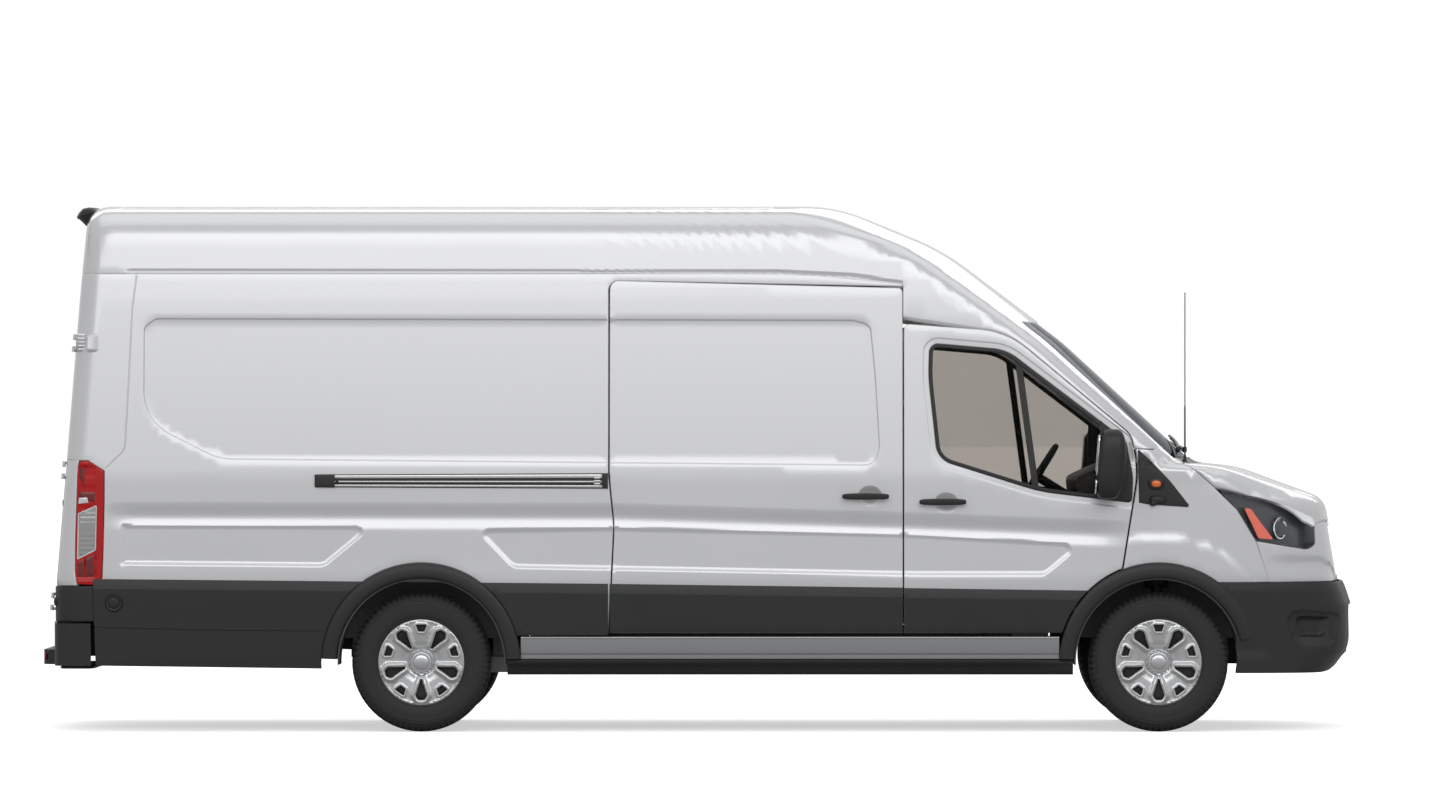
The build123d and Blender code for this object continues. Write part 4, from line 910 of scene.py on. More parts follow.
# A closed block with rounded edges: cosines and sines keep their sign and are raised to 2 / power.
def roundedBlock(centre, sizes, power=5.0, rows=16, columns=40, bend=None):
    tilt = np.linspace(-np.pi / 2, np.pi / 2, rows + 2)[1:-1, None]
    spin = np.linspace(0, 2 * np.pi, columns, endpoint=False)[None]

    def shaped(value):
        return np.sign(value) * np.abs(value) ** (2 / power)
    points = np.stack([shaped(np.cos(tilt)) * shaped(np.cos(spin)), shaped(np.cos(tilt)) * shaped(np.sin(spin)),
                       np.broadcast_to(shaped(np.sin(tilt)), (rows, columns))], 2).reshape(-1, 3)
    points = np.concatenate([points, [(0, 0, -1), (0, 0, 1)]]) * np.array(sizes) / 2
    if bend:
        points = bend(points)
    faces = [tuple(face) for face in gridFaces(rows, columns, closeColumns=True).tolist()]
    low, high = rows * columns, rows * columns + 1
    last = (rows - 1) * columns
    faces += [(low, (c + 1) % columns, c) for c in range(columns)]
    faces += [(high, last + c, last + (c + 1) % columns) for c in range(columns)]
    return points + np.array(centre), faces


# A round rod along a path, closed at both ends; the radius may change along it.
def tubeAlong(path, radius, steps=12):
    path = np.asarray(path, float)
    radius = np.broadcast_to(np.asarray(radius, float), (len(path),))
    run = np.gradient(path, axis=0)
    run /= np.linalg.norm(run, axis=1, keepdims=True)
    helper = np.where(np.abs(run[:, :1]) < 0.9, [[1.0, 0, 0]], [[0, 1.0, 0]])
    first = np.cross(run, helper)
    first /= np.linalg.norm(first, axis=1, keepdims=True)
    second = np.cross(run, first)
    angle = np.linspace(0, 2 * np.pi, steps, endpoint=False)
    ring = np.cos(angle)[None, :, None] * first[:, None] + np.sin(angle)[None, :, None] * second[:, None]
    return loftMesh(path[:, None] + radius[:, None, None] * ring)


# A closed profile of (radius, offset) turned right round a crosswise axis.
def ringMesh(profile, steps, wave=None):
    points, _ = turnedMesh(profile, steps, wave)
    return outward(points, [tuple(f) for f in gridFaces(steps, len(profile), closeRows=True, closeColumns=True).tolist()])


# A profile of (radius, offset) that starts and ends on the axis, turned about a crosswise axis.
def latheMesh(profile, steps=48):
    profile = np.asarray(profile, float)
    points, quads = turnedMesh(profile[1:-1], steps)
    count, total = len(profile) - 2, len(points)
    verts = np.concatenate([points, [(0, profile[0, 1], 0), (0, profile[-1, 1], 0)]])
    ring = np.arange(steps) * count
    following = np.roll(ring, -1)
    fans = [(a, b, total) for a, b in zip(ring.tolist(), following.tolist())]
    fans += [(b + count - 1, a + count - 1, total + 1) for a, b in zip(ring.tolist(), following.tolist())]
    return outward(verts, [tuple(f) for f in quads.tolist()] + fans)


# Seals, division bars and mirror triangles of the door windows.
sealSet = {"width": 0.019, "lift": 0.0012, "barTop": (1.612, 1.925), "barBottom": (1.706, 1.222), "bar": 0.034}


def sealMesh():
    outer = windowOutline()
    return shellFrom(outer, [moved(anticlockwise(evenly(outer, 0.02)), sealSet["width"])], lifted(sealSet["lift"]),
                     0.0165, 0.05, (), 0.0035)


def barMesh():
    s = sealSet
    top, bottom = s["barTop"], s["barBottom"]
    outline = np.array([(bottom[0] - s["bar"] / 2, bottom[1]), (bottom[0] + s["bar"] / 2, bottom[1]),
                        (top[0] + s["bar"] / 2, top[1]), (top[0] - s["bar"] / 2, top[1])])
    return shellFrom(outline, [], lifted(-0.0045), 0.005, 0.05, (), 0.002)


# The part of an outline between two upright lines, with its points held to them.
def clipped(outline, lowX, highX):
    line = outline.copy()
    line[:, 0] = np.clip(line[:, 0], lowX, highX)
    keep = np.linalg.norm(np.diff(np.concatenate([line[-1:], line]), axis=0), axis=1) > 1e-5
    return line[keep]


addPair("windowSeal", sealMesh(), "black_plastic", "front_door_@")
addPair("windowBar", barMesh(), "black_plastic", "front_door_@")

sailDoor = shellFrom(clipped(windowOutline(0.0005), 2.034, 2.4), [], lifted(0.0025), 0.018, 0.03,
                     [(np.array([(2.06, 1.42), (2.19, 1.4)]), False)], 0.004)
markerPlate = roundedLine([(2.229, 1.166, 0.004), (2.285, 1.156, 0.3), (2.492, 1.143, 0.008), (2.387, 1.277, 0.6),
                           (2.285, 1.383, 0.4), (2.2235, 1.4395, 0.004)])
addPair("markerPlate", shellFrom(markerPlate, [], lifted(0.004), 0.0045, 0.03, (), 0.0035), "black_plastic")


# Side marker: an oval dark base, an amber lens, and the small rounded sensor housing below it.
def markerMeshes():
    y = -sideReach(2.316, 1.262) - 0.003
    base = roundedBlock((2.316, y, 1.262), (0.086, 0.02, 0.066), 2.4, 14, 40)
    lens = roundedBlock((2.316, y - 0.006, 1.262), (0.05, 0.02, 0.035), 2.2, 14, 40)
    sensor = roundedBlock((2.325, y + 0.002, 1.178), (0.09, 0.05, 0.05), 2.6, 14, 36,
                          lambda p: p * np.stack([np.ones(len(p)), 1 - 6 * np.maximum(p[:, 0], 0),
                                                  1 - 5 * np.maximum(p[:, 0], 0)], 1))
    nub = roundedBlock((2.3, y - 0.012, 1.163), (0.036, 0.034, 0.03), 2.4, 10, 24)
    return base, lens, joinMeshes([sensor, nub])


markerBase, markerLens, sensorNub = markerMeshes()
addPair("markerBase", markerBase, "black_plastic")
addPair("markerLens", markerLens, "amber_lens", slot="black_plastic")
addPair("fenderSensor", sensorNub, "black_plastic")

# Door mirrors: a tall head that leans forward at its top, a seam across its back cover, two panes, and an arm.
mirrorSet = {"centre": (2.083, -1.142, 1.362), "size": (0.15, 0.186, 0.356), "lean": 0.075, "seam": 1.405}


# Narrows towards its top and foot, bulges forward, and leans forward as it rises.
def mirrorShape(points):
    x, y, z = points.T
    share = (z / (mirrorSet["size"][2] / 2)) ** 2
    x = np.where(x > 0, x * (1 - 0.3 * share), x * (1 - 0.06 * share))
    return np.stack([x + mirrorSet["lean"] * z, y * (1 - 0.05 * share), z], 1)


def mirrorMeshes():
    c, s = mirrorSet["centre"], mirrorSet["size"]
    head = roundedBlock(c, s, 4.2, 44, 64, mirrorShape)
    groove = np.exp(-((head[0][:, 2] - mirrorSet["seam"]) / 0.0035) ** 2)
    middle = np.array([c[0], c[1], 0])
    inwards = (head[0] - middle) * np.array([1, 1, 0])
    head = (head[0] - inwards * groove[:, None] * 0.02, head[1])
    arm = roundedBlock((2.105, -1.02, 1.262), (0.074, 0.15, 0.08), 3.4, 14, 36)
    foot = roundedBlock((2.112, -0.978, 1.262), (0.105, 0.04, 0.135), 3.2, 14, 36)
    ribs = [tubeAlong([(2.075, -0.972, z), (2.195, -0.97, z - 0.004)], 0.0055, 10) for z in (1.345, 1.318, 1.235)]
    panes = []
    for low, high in ((1.302, 1.512), (1.212, 1.286)):
        mid, tall = (low + high) / 2, high - low
        lean = mirrorSet["lean"] * (mid - c[2])
        panes.append(roundedBlock((c[0] - s[0] / 2 + lean + 0.0035, c[1], mid), (0.01, 0.146, tall), 7.0, 14, 40,
                                  lambda p: p + np.stack([mirrorSet["lean"] * p[:, 2], 0 * p[:, 0], 0 * p[:, 0]], 1)))
    return head, joinMeshes([arm, foot] + ribs), joinMeshes(panes)


mirrorHead, mirrorArm, mirrorPanes = mirrorMeshes()
for name, mesh in (("mirrorHead", mirrorHead), ("mirrorArm", mirrorArm), ("mirrorSail", sailDoor)):
    addPair(name, mesh, "black_plastic", "front_door_@", ["mirror_@"])
addPair("mirrorPanes", mirrorPanes, "mirror_glass", "front_door_@", slot="bright_metal")
print("windows and mirrors done")

# Bar handles on two posts, over round cups pressed into the doors.
handleSet = {"front": (1.231, 1.17), "slide": (0.839, 1.198), "y": -1.042, "length": 0.239, "tall": 0.034, "deep": 0.024}


# Draws the ends of the bar in towards the door and makes them slimmer.
def bowed(points):
    x, y, z = points.T
    return np.stack([x, y + 0.22 * x ** 2, z * (1 - np.abs(x) / 1.2)], 1)


def handleMesh(x, z):
    h = handleSet
    y = h["y"]
    bar = roundedBlock((x, y, z), (h["length"], h["deep"], h["tall"]), 4.5, 16, 48, bowed)
    posts = [roundedBlock((x + side * 0.092, y + 0.018, z), (0.028, 0.036, 0.022), 4.0, 10, 24) for side in (-1, 1)]
    return joinMeshes([bar] + posts)


addPair("frontHandle", handleMesh(*handleSet["front"]), "black_plastic", "front_door_@", slot="trim_plastic")
addPiece("slideHandle", handleMesh(*handleSet["slide"]), "black_plastic", slot="trim_plastic")

# Lower claddings: a strip proud of the paint, with a broad chamfer along its top and a step along its lower third.
claddingSet = {"proud": 0.012, "chamfer": 0.05, "chamferDepth": 0.009, "stepDepth": 0.004,
               "topLine": ([-3.098, -0.469, 1.028, 1.035, 2.222], [0.779, 0.754, 0.735, 0.733, 0.718]),
               "stepLine": ([-3.098, -3.0, -2.4, 1.0], [0.538, 0.533, 0.52, 0.5]), "stepEnd": -0.9}


def claddingTop(x):
    return np.interp(x, *claddingSet["topLine"])


def claddingStep(x):
    return np.interp(x, *claddingSet["stepLine"])


def claddingDepth(flat):
    c = claddingSet
    x, z = flat.T
    fall = np.clip((z - claddingTop(x) + c["chamfer"]) / c["chamfer"], 0, 1)
    low = smooth((claddingStep(x) - z) / 0.006) * (x < c["stepEnd"])
    return c["chamferDepth"] * fall + c["stepDepth"] * low


def claddingMesh(outline, step=False):
    low, high = outline[:, 0].min() + 0.008, outline[:, 0].max() - 0.008
    x = np.linspace(low, high, 60)
    rings = [np.stack([x, claddingTop(x) - claddingSet["chamfer"] + lift], 1) for lift in (-0.002, 0.002)]
    if step:
        rings += [np.stack([x, claddingStep(x) + lift], 1) for lift in (-0.007, -0.003, 0.001)]
    kept = []
    for line in rings:
        kept += heldRuns(line, inside(line, outline) & (distanceTo(line, outline) > 0.006))
    return shellFrom(outline, [], lifted(claddingSet["proud"]), 0.0112, 0.05, kept, 0.003, claddingDepth)


def rearCladding(end):
    arch = circleLine(rearAxle, hubHeight, 0.5068, 183.6, 15.6, 60)
    return np.concatenate([[(-3.097, 0.337)], arch, [(end, 0.491), (end, claddingTop(end)), (-3.097, 0.7785)]])


doorArc = circleLine(frontAxle, hubHeight, 0.5135, 163.0, 134.6, 20)
doorCladding = np.concatenate([[(1.0355, 0.505)], doorArc, [(1.0355, 0.7325)]])
slideCladding = roundedLine([(-0.4615, 0.505), (1.0275, 0.505), (1.0275, 0.7345), (-0.4615, 0.7535)])
addPiece("rearCladding_right", claddingMesh(rearCladding(-0.4695), True), "trim_plastic", "body", ["side_trims"])
addPiece("rearCladding_left", mirrored(claddingMesh(rearCladding(1.0275), True)), "trim_plastic", "body", ["side_trims"])
addPair("doorCladding", claddingMesh(doorCladding), "trim_plastic", "front_door_@", ["door_trim_@"])
addPiece("slideCladding", claddingMesh(slideCladding), "trim_plastic", "body", ["sliding_door_trim"])

# Wheel arch lips: one rounded section carried round each arch.
flareSet = {"section": [(0.5062, -0.0005), (0.5062, -0.006), (0.5035, -0.0125), (0.497, -0.0175), (0.486, -0.0205),
                        (0.47, -0.0218), (0.45, -0.0218), (0.44, -0.02), (0.4335, -0.016), (0.4295, -0.009),
                        (0.4285, 0.0), (0.4285, 0.046), (0.4325, 0.046), (0.4345, -0.0005)]}


def flareMesh(axle, start, end, steps=90):
    section = np.array(flareSet["section"])
    angle = np.radians(np.linspace(start, end, steps))
    x = axle + section[:, 0][None] * np.cos(angle)[:, None]
    z = hubHeight + section[:, 0][None] * np.sin(angle)[:, None]
    depth = np.broadcast_to(section[:, 1][None], x.shape)
    y = -(sideReach(x, z) - depth)
    return loftMesh(np.stack([x, y, z], 2))


for name, axle, start, end in (("rearFlare", rearAxle, 177.9, 2.1), ("frontFlare", frontAxle, 177.9, 14.9)):
    addPair(name, flareMesh(axle, start, end), "trim_plastic", "body", ["side_trims"])

# Silver sill band with a bright top bead and a tucked lower lip, and the black step below it.
sillSet = {"band": [(-0.99, 0.4855), (-0.9955, 0.483), (-0.9965, 0.479), (-0.9945, 0.4755), (-0.9935, 0.47), (-0.9905, 0.405),
                    (-0.988, 0.399), (-0.981, 0.393), (-0.978, 0.3725), (-0.888, 0.3725), (-0.888, 0.4855)],
           "step": [(-0.976, 0.3715), (-0.9835, 0.366), (-0.9845, 0.356), (-0.98, 0.344), (-0.968, 0.333), (-0.9645, 0.327),
                    (-0.962, 0.302), (-0.957, 0.2935), (-0.948, 0.2905), (-0.868, 0.2905), (-0.868, 0.3715)]}


# The section at a few stations; the upper bead is drawn in towards its front end.
def sillMesh(section, ends, taper=0.0):
    rows = np.array(section)
    stations = np.concatenate([np.linspace(ends[0], ends[1] - 0.3, 6), np.linspace(ends[1] - 0.26, ends[1], 14)])
    sections = []
    for x in stations:
        near = smooth((x - ends[1] + 0.26) / 0.26) * taper
        bead = np.clip((rows[:, 1] - 0.327) / 0.03, 0, 1) * (rows[:, 0] < -0.95)
        y = rows[:, 0] + near * bead
        sections.append(np.stack([np.full(len(rows), x), y, rows[:, 1]], 1))
    return loftMesh(np.array(sections))


addPair("sillBand", sillMesh(sillSet["band"], (-0.913, 1.823)), "sill_paint", "body", ["sill_trims"])
addPair("sillStep", sillMesh(sillSet["step"], (-0.982, 1.895), 0.016), "black_plastic", "body", ["sill_steps"])
print("lower trims done")

# Sliding door track: a dark channel with three bright rails, dark end pieces, and rollers at its front.
trackSet = {"rear": -1.961, "front": -0.47, "lowRear": 1.244, "lowFront": 1.237, "highRear": 1.309, "highFront": 1.316}


def trackStrip(lowShare, highShare, lift, thickness, rearTrim=0.0, frontTrim=0.0, edge=0.002):
    t = trackSet
    front = t["front"] - frontTrim

    def level(share, x):
        low = np.interp(x, [t["rear"], t["front"]], [t["lowRear"], t["lowFront"]])
        high = np.interp(x, [t["rear"], t["front"]], [t["highRear"], t["highFront"]])
        return low + share * (high - low)
    rear = t["rear"] + rearTrim
    outline = roundedLine([(rear, level(lowShare, rear), 0.003), (front, level(lowShare, front)),
                           (front, level(highShare, front)), (rear, level(highShare, rear), 0.003)])
    return shellFrom(outline, [], lifted(lift), thickness, 0.05, (), edge)


addPiece("trackChannel", trackStrip(0.0, 1.0, 0.0045, 0.0042), "black_plastic", "body", ["door_track"])
for name, low, high in (("trackRailHigh", 0.7, 0.93), ("trackRailLow", 0.07, 0.22), ("trackRailMiddle", 0.4, 0.5)):
    addPiece(name, trackStrip(low, high, 0.0105, 0.0062, 0.1, 0.03, 0.0025), "bright_metal", "body", ["door_track"])
endRows = (([(-1.961, 1.2435, 0.006), (-1.857, 1.2425, 0.003), (-1.857, 1.3105, 0.003), (-1.961, 1.3095, 0.006)],
            0.0115, 0.0112, 0.003),
           ([(-1.855, 1.262, 0.003), (-1.838, 1.262, 0.003), (-1.838, 1.292, 0.003), (-1.855, 1.292, 0.003)],
            0.0112, 0.01, 0.002),
           ([(-0.497, 1.2385, 0.003), (-0.47, 1.2385), (-0.47, 1.315), (-0.497, 1.314, 0.003)], 0.0115, 0.0112, 0.003))
trackEnd = joinMeshes([shellFrom(roundedLine(rows), [], lifted(lift), thickness, 0.02, (), edge)
                       for rows, lift, thickness, edge in endRows])
addPiece("trackEnd", trackEnd, "black_plastic", "body", ["door_track"])
trackRollers = joinMeshes([roundedBlock((-0.525, -sideReach(-0.525, 1.277) - 0.0085, z), (0.036, 0.008, 0.01), 3.0, 8, 20)
                           for z in (1.262, 1.277, 1.292)])
addPiece("trackRollers", trackRollers, "bright_metal")

# Round cap low on the rear corner.
capSet = {"x": -2.98, "z": 0.657, "proud": 0.012,
          "profile": [(0.0, -0.016), (0.02, -0.016), (0.026, -0.0145), (0.029, -0.009), (0.033, -0.009), (0.04, -0.0105),
                      (0.0445, -0.006), (0.046, 0.004), (0.0, 0.004)]}
cap = latheMesh(capSet["profile"], 48)
capY = -sideReach(capSet["x"], capSet["z"]) - capSet["proud"]
addPiece("roundCap", (cap[0] + (capSet["x"], capY, capSet["z"]), cap[1]), "black_plastic")

# Wheels, all made at the origin for the right side and then placed. Tread: shoulder blocks and four ring grooves.
wheelSet = {"tyreSide": [(0.2036, -0.086), (0.206, -0.0955), (0.211, -0.1005), (0.217, -0.103), (0.224, -0.1075),
                         (0.2265, -0.1092), (0.2285, -0.1088), (0.235, -0.1125), (0.25, -0.1158), (0.268, -0.1172),
                         (0.285, -0.1171), (0.295, -0.1163), (0.297, -0.1168), (0.299, -0.1158), (0.308, -0.1138),
                         (0.31, -0.1143), (0.312, -0.113), (0.322, -0.1092), (0.33, -0.105), (0.337, -0.1),
                         (0.343, -0.0945), (0.348, -0.0885), (0.3512, -0.082), (0.353, -0.074)],
            "tread": [(0.3536, -0.053), (0.345, -0.051), (0.345, -0.045), (0.3538, -0.043),
                      (0.3539, -0.022), (0.345, -0.02), (0.345, -0.014), (0.354, -0.012)],
            "blocks": 68, "perBlock": 6, "notch": 0.006,
            "coverRim": 0.22, "dish": [(0.0, 0.03), (0.06, 0.03), (0.072, 0.022), (0.11, 0.0135), (0.16, 0.0095),
                                        (0.196, 0.0095), (0.206, 0.0085), (0.213, 0.0095), (0.22, 0.0135)],
            "rib": 0.0075, "ribAway": 0.0095, "ribWide": 0.0085}


# Cuts cross notches into both shoulders and the outer tread ribs, at an even pitch.
def tyreWave(angle, radius, offset):
    w = wheelSet
    share = (angle * w["blocks"] / (2 * np.pi)) % 1
    cut = np.where(share < 0.25, 1.0, 0.0)
    shoulder = smooth((radius - 0.327) / 0.01) * smooth((np.abs(offset) - 0.054) / 0.004)
    radius = radius - w["notch"] * cut * shoulder * smooth((radius - 0.336) / 0.01)
    wall = smooth((radius - 0.318) / 0.008) * smooth((np.abs(offset) - 0.06) / 0.01)
    return radius, offset - np.sign(offset) * 0.0035 * cut * wall


def tyreMesh():
    w = wheelSet
    outer = np.array(w["tyreSide"] + w["tread"])
    profile = np.concatenate([outer, outer[::-1] * (1, -1)])
    return ringMesh(profile, w["blocks"] * w["perBlock"], tyreWave)


def aroundAxis(points, degrees):
    turn = np.radians(degrees)
    c, s = np.cos(turn), np.sin(turn)
    return np.stack([points[:, 0] * c - points[:, 1] * s, points[:, 0] * s + points[:, 1] * c], 1)


coverWindow = roundedLine([(0.157, -0.0155, 0.004), (0.1905, -0.0275, 0.005), (0.1905, 0.0275, 0.005), (0.157, 0.0155, 0.004)])
coverSlot = roundedLine([(0.086, -0.004, 0.003), (0.13, -0.0165, 0.05), (0.17, -0.03, 0.016), (0.1915, -0.015, 0.016),
                         (0.1915, 0.015, 0.016), (0.17, 0.03, 0.016), (0.13, 0.0165, 0.05), (0.086, 0.004, 0.003)])
coverWindows = [anticlockwise(aroundAxis(coverWindow, 18 + 72 * turn)) for turn in range(5)]
coverSlots = [anticlockwise(aroundAxis(coverSlot, 54 + 72 * turn)) for turn in range(5)]


# Dish by radius, a raised rib round each slot and window, and a shallow sunken face along each spoke.
def coverDepth(flat):
    w = wheelSet
    radius = np.hypot(flat[:, 0], flat[:, 1])
    dish = np.array(w["dish"])
    depth = np.interp(radius, dish[:, 0], dish[:, 1])
    toSlot = np.minimum.reduce([distanceTo(flat, slot) for slot in coverSlots])
    toWindow = np.minimum.reduce([distanceTo(flat, window) for window in coverWindows])
    inner = smooth((radius - 0.07) / 0.02) * smooth((0.214 - radius) / 0.01)
    rib = np.exp(-((toSlot - w["ribAway"]) / w["ribWide"]) ** 2)
    frameRib = 0.6 * np.exp(-((toWindow - 0.006) / 0.005) ** 2)
    spoke = smooth((toSlot - 0.02) / 0.008)
    return depth - w["rib"] * np.maximum(rib, frameRib) * inner + 0.003 * spoke * inner


def coverRings():
    holes = coverSlots + coverWindows
    kept = []
    for cuts, lifts in ((coverSlots, (0.005, 0.0095, 0.014)), (coverWindows, (0.004, 0.008))):
        for line in [moved(evenly(cut, 0.004), -away) for cut in cuts for away in lifts]:
            near = np.minimum.reduce([distanceTo(line, hole) for hole in holes])
            covered = np.any([inside(line, hole) for hole in holes], axis=0)
            kept += heldRuns(line, (np.hypot(line[:, 0], line[:, 1]) < 0.205) & ~covered & (near > 0.0035), 3)
    return kept


def wheelMeshes():
    w = wheelSet
    face = shellFrom(circleLine(0, 0, w["coverRim"], steps=160), coverSlots + coverWindows,
                     lambda u, z, depth: np.stack([u, depth - 0.1175, z], 1), 0.005, 0.0085, coverRings(), 0.0022, coverDepth)
    cap = latheMesh([(0, -0.1135), (0.012, -0.1133), (0.024, -0.1122), (0.034, -0.11), (0.0395, -0.1075), (0.0415, -0.104),
                     (0.0425, -0.104), (0.0435, -0.1055), (0.0475, -0.106), (0.051, -0.104), (0.053, -0.099),
                     (0.056, -0.092), (0.056, -0.086), (0, -0.086)], 64)
    barrel = ringMesh(np.array([(0.203, -0.0815), (0.203, 0.0855), (0.194, 0.0855), (0.194, -0.0275), (0.15, -0.033),
                                (0.032, -0.0375), (0.032, -0.0735), (0.15, -0.08), (0.173, -0.0875), (0.19, -0.083)]), 72)
    return face, cap, barrel


tyre = tyreMesh()
coverFace, hubCap, rimBarrel = wheelMeshes()
for end, axle in (("front", frontAxle), ("rear", rearAxle)):
    for side, sign in (("right", -1), ("left", 1)):
        place = np.array([axle, sign * wheelPlace["out"], hubHeight])
        tail = end + "_" + side
        for name, mesh, tone, node, slot in (("tyreTread_", tyre, "tyre_rubber", "tyre_", "tyre_rubber"),
                                             ("wheelCover_", coverFace, "wheel_silver", "wheel_", "wheel_silver"),
                                             ("hubCap_", hubCap, "wheel_silver", "wheel_", "wheel_silver"),
                                             ("rimBarrel_", rimBarrel, "rim_steel", "wheel_", "wheel_silver")):
            made = mesh if sign < 0 else mirrored(mesh)
            addPiece(name + tail, (made[0] + place, *made[1:]), tone, "wheel_" + tail, [node + tail], slot)
print("wheels done")

# Nose: level rays from a pivot inside, sideways behind it, turning through the corner, then straight ahead; the left half
# repeats the right with its sign changed, so that a sheet can run from one side to the other.
nosePivot = {"x": 2.6, "y": 0.45, "full": 2.9}
noseFull = nosePivot["full"]


def noseRays(u, z):
    folded = np.minimum(u, noseFull - u)
    turn = np.clip(folded, 0, 1) * np.pi / 2
    origin = np.stack([nosePivot["x"] + np.minimum(folded, 0), -nosePivot["y"] + np.maximum(folded - 1, 0), z], 1)
    way = np.stack([np.sin(turn), -np.cos(turn), np.zeros_like(turn)], 1)
    sign = np.where(u > noseFull / 2, -1.0, 1.0)[:, None]
    flip = np.concatenate([np.ones_like(sign), sign, np.ones_like(sign)], 1)
    return origin * flip, way * flip


noseSurface = surfaceOf(noseRays)
bumperForm = {"rows": [(3.264, 0.296, 0.06), (3.358, 0.42, 0.2), (3.358, 0.64, 0.06), (3.318, 0.762)],
              "proud": 0.012, "corner": 0.15}
bumperTable = roundedLine([(2.6, 0.2962)] + bumperForm["rows"], closed=False, arcSteps=20)


# The bumper's own form: the side moved out, and its profile turned about the same upright axis as the bow.
def outsideBumper(x, y, z):
    side = np.abs(y) - sideReach(x, z) - bumperForm["proud"]
    reach = np.interp(z, bumperTable[1:, 1], bumperTable[1:, 0]) - bodyForm["bowAxis"]
    bow = x - bodyForm["bowAxis"] - np.sqrt(reach ** 2 - y ** 2)
    return softMax(side, bow, bumperForm["corner"])


bumperSurface = surfaceOf(noseRays, outsideBumper)


def noseU(x, z, surface=noseSurface):
    return tableU(x, z, surface, -0.2, noseFull / 2, 120)


# A side-view outline with rounded corners, carried on to the surface's own measures.
def sideOutline(rows, surface, arcSteps=6):
    line = evenly(roundedLine(rows, arcSteps=arcSteps), 0.03)
    return anticlockwise(np.stack([noseU(line[:, 0], line[:, 1], surface), line[:, 1]], 1))


grilleOutline = roundedLine([(0.9495, 1.0405, 0.03), (1.0195, 0.7895, 0.05), (1.8805, 0.7895, 0.05), (1.9505, 1.0405, 0.03)])


def lampSide(grow=0.0):
    rows = [(2.62 - grow, 1.239 + grow, 0.012), (2.95, 1.163 + grow, 0.7), (3.134 + grow, 1.085 + grow, 0.04),
            (3.139 + grow, 0.948, 0.03), (3.098, 0.926 - grow, 0.06), (2.824 - grow, 0.972 - grow, 0.04),
            (2.73 - grow, 1.13, 0.06)]
    return sideOutline(rows, noseSurface)


# Below the lamps and the hood, above the bumper, from fender to fender.
def noseCoverOutline():
    low, high, top = 0.7608, 0.9715, 1.0585
    highU, lowU = noseU([2.8245, 2.8955], [high, low])
    lamp = lampSide(0.0015)
    nearFoot = np.hypot(lamp[:, 0] - highU, lamp[:, 1] - high) <= 0.012
    foot = int(np.argmin(lamp[:, 1] - 0.001 * lamp[:, 0] + np.where(nearFoot, 0, 9)))
    end = int(np.argmax(lamp[:, 0] + 0.35 * lamp[:, 1]))
    run = np.roll(lamp, -foot, 0)[:(end - foot) % len(lamp) + 1]
    topLine = [(noseFull - run[-1, 0], top), (run[-1, 0], top)]
    run = run[run[:, 1] < top - 0.001]
    base = np.stack([np.linspace(lowU, noseFull - lowU, 60), np.full(60, low)], 1)
    return np.concatenate([base, [(noseFull - highU, high)], run * (-1, 1) + (noseFull, 0), topLine, run[::-1]])


# A soft swage that falls from the lamp's foot and turns down to the bumper, and a lip round the grille.
noseSet = {"swage": [(0.36, 0.905), (0.62, 0.895), (0.8, 0.875), (0.93, 0.82), (0.98, 0.765)], "depth": 0.007,
           "start": 0.3, "soft": 0.045, "lip": 0.0015, "lipWide": 0.012}


def noseDepth(flat):
    n = noseSet
    u, z = np.minimum(flat[:, 0], noseFull - flat[:, 0]), flat[:, 1]
    level = np.interp(u, *np.array(n["swage"]).T)
    below = smooth((level - z + 0.004) / n["soft"])
    lip = np.exp(-(distanceTo(np.stack([u, z], 1), anticlockwise(grilleOutline)) / n["lipWide"]) ** 2)
    swage = n["depth"] * ramp(u, n["start"], 0.2) * below * (1 - 0.55 * smooth((level - 0.06 - z) / 0.06))
    return swage - n["lip"] * lip + n["lip"]


noseSheet = shellFrom(noseCoverOutline(), [anticlockwise(grilleOutline)], noseSurface, 0.02, 0.03, (), 0.004, noseDepth)
addPiece("noseCover", noseSheet, "body_paint", "body", ["nose_cover"])

# Headlamps: clear lens, dark housing with a lit-looking bowl, an amber side reflector and fine ribs.
lampLine = lampSide()
lens = shellFrom(lampLine, [], noseSurface, 0.003, 0.03, (), 0.003)


# A dark tray: a floor sheet, and walls up to the surface along its outline.
def wellMesh(outline, surface, top, bottom, thickness, spacing=0.04, relief=None):
    floor = shellFrom(outline, [], lifted(-bottom, surface), thickness, spacing, (), 0, relief)
    line = evenly(outline, 0.012)
    within = moved(line, 0.0025)
    rows = [surface(*row.T, np.full(len(line), depth))
            for row, depth in ((line, top), (line, bottom), (within, bottom), (within, top))]
    wall = loftMesh(np.stack(rows, 1), closed=True)
    return joinMeshes([floor, wall])


# Fine ribs behind the lens, and a gentle step towards its tail.
def housingDepth(flat):
    return 0.0015 * np.sin(flat[:, 1] * 420) - 0.02 * smooth((0.3 - flat[:, 0]) / 0.25)


housing = wellMesh(moved(lampLine, 0.0025), noseSurface, 0.0036, 0.066, 0.003, 0.02, housingDepth)
reflectorRows = [(2.77, 1.14, 0.006), (2.806, 1.134, 0.012), (2.868, 1.05, 0.05), (2.925, 0.977, 0.006), (2.846, 0.984, 0.006),
                 (2.815, 1.05, 0.05)]
reflector = shellFrom(sideOutline(reflectorRows, noseSurface), [], lifted(-0.012, noseSurface), 0.006, 0.02, (), 0.002)


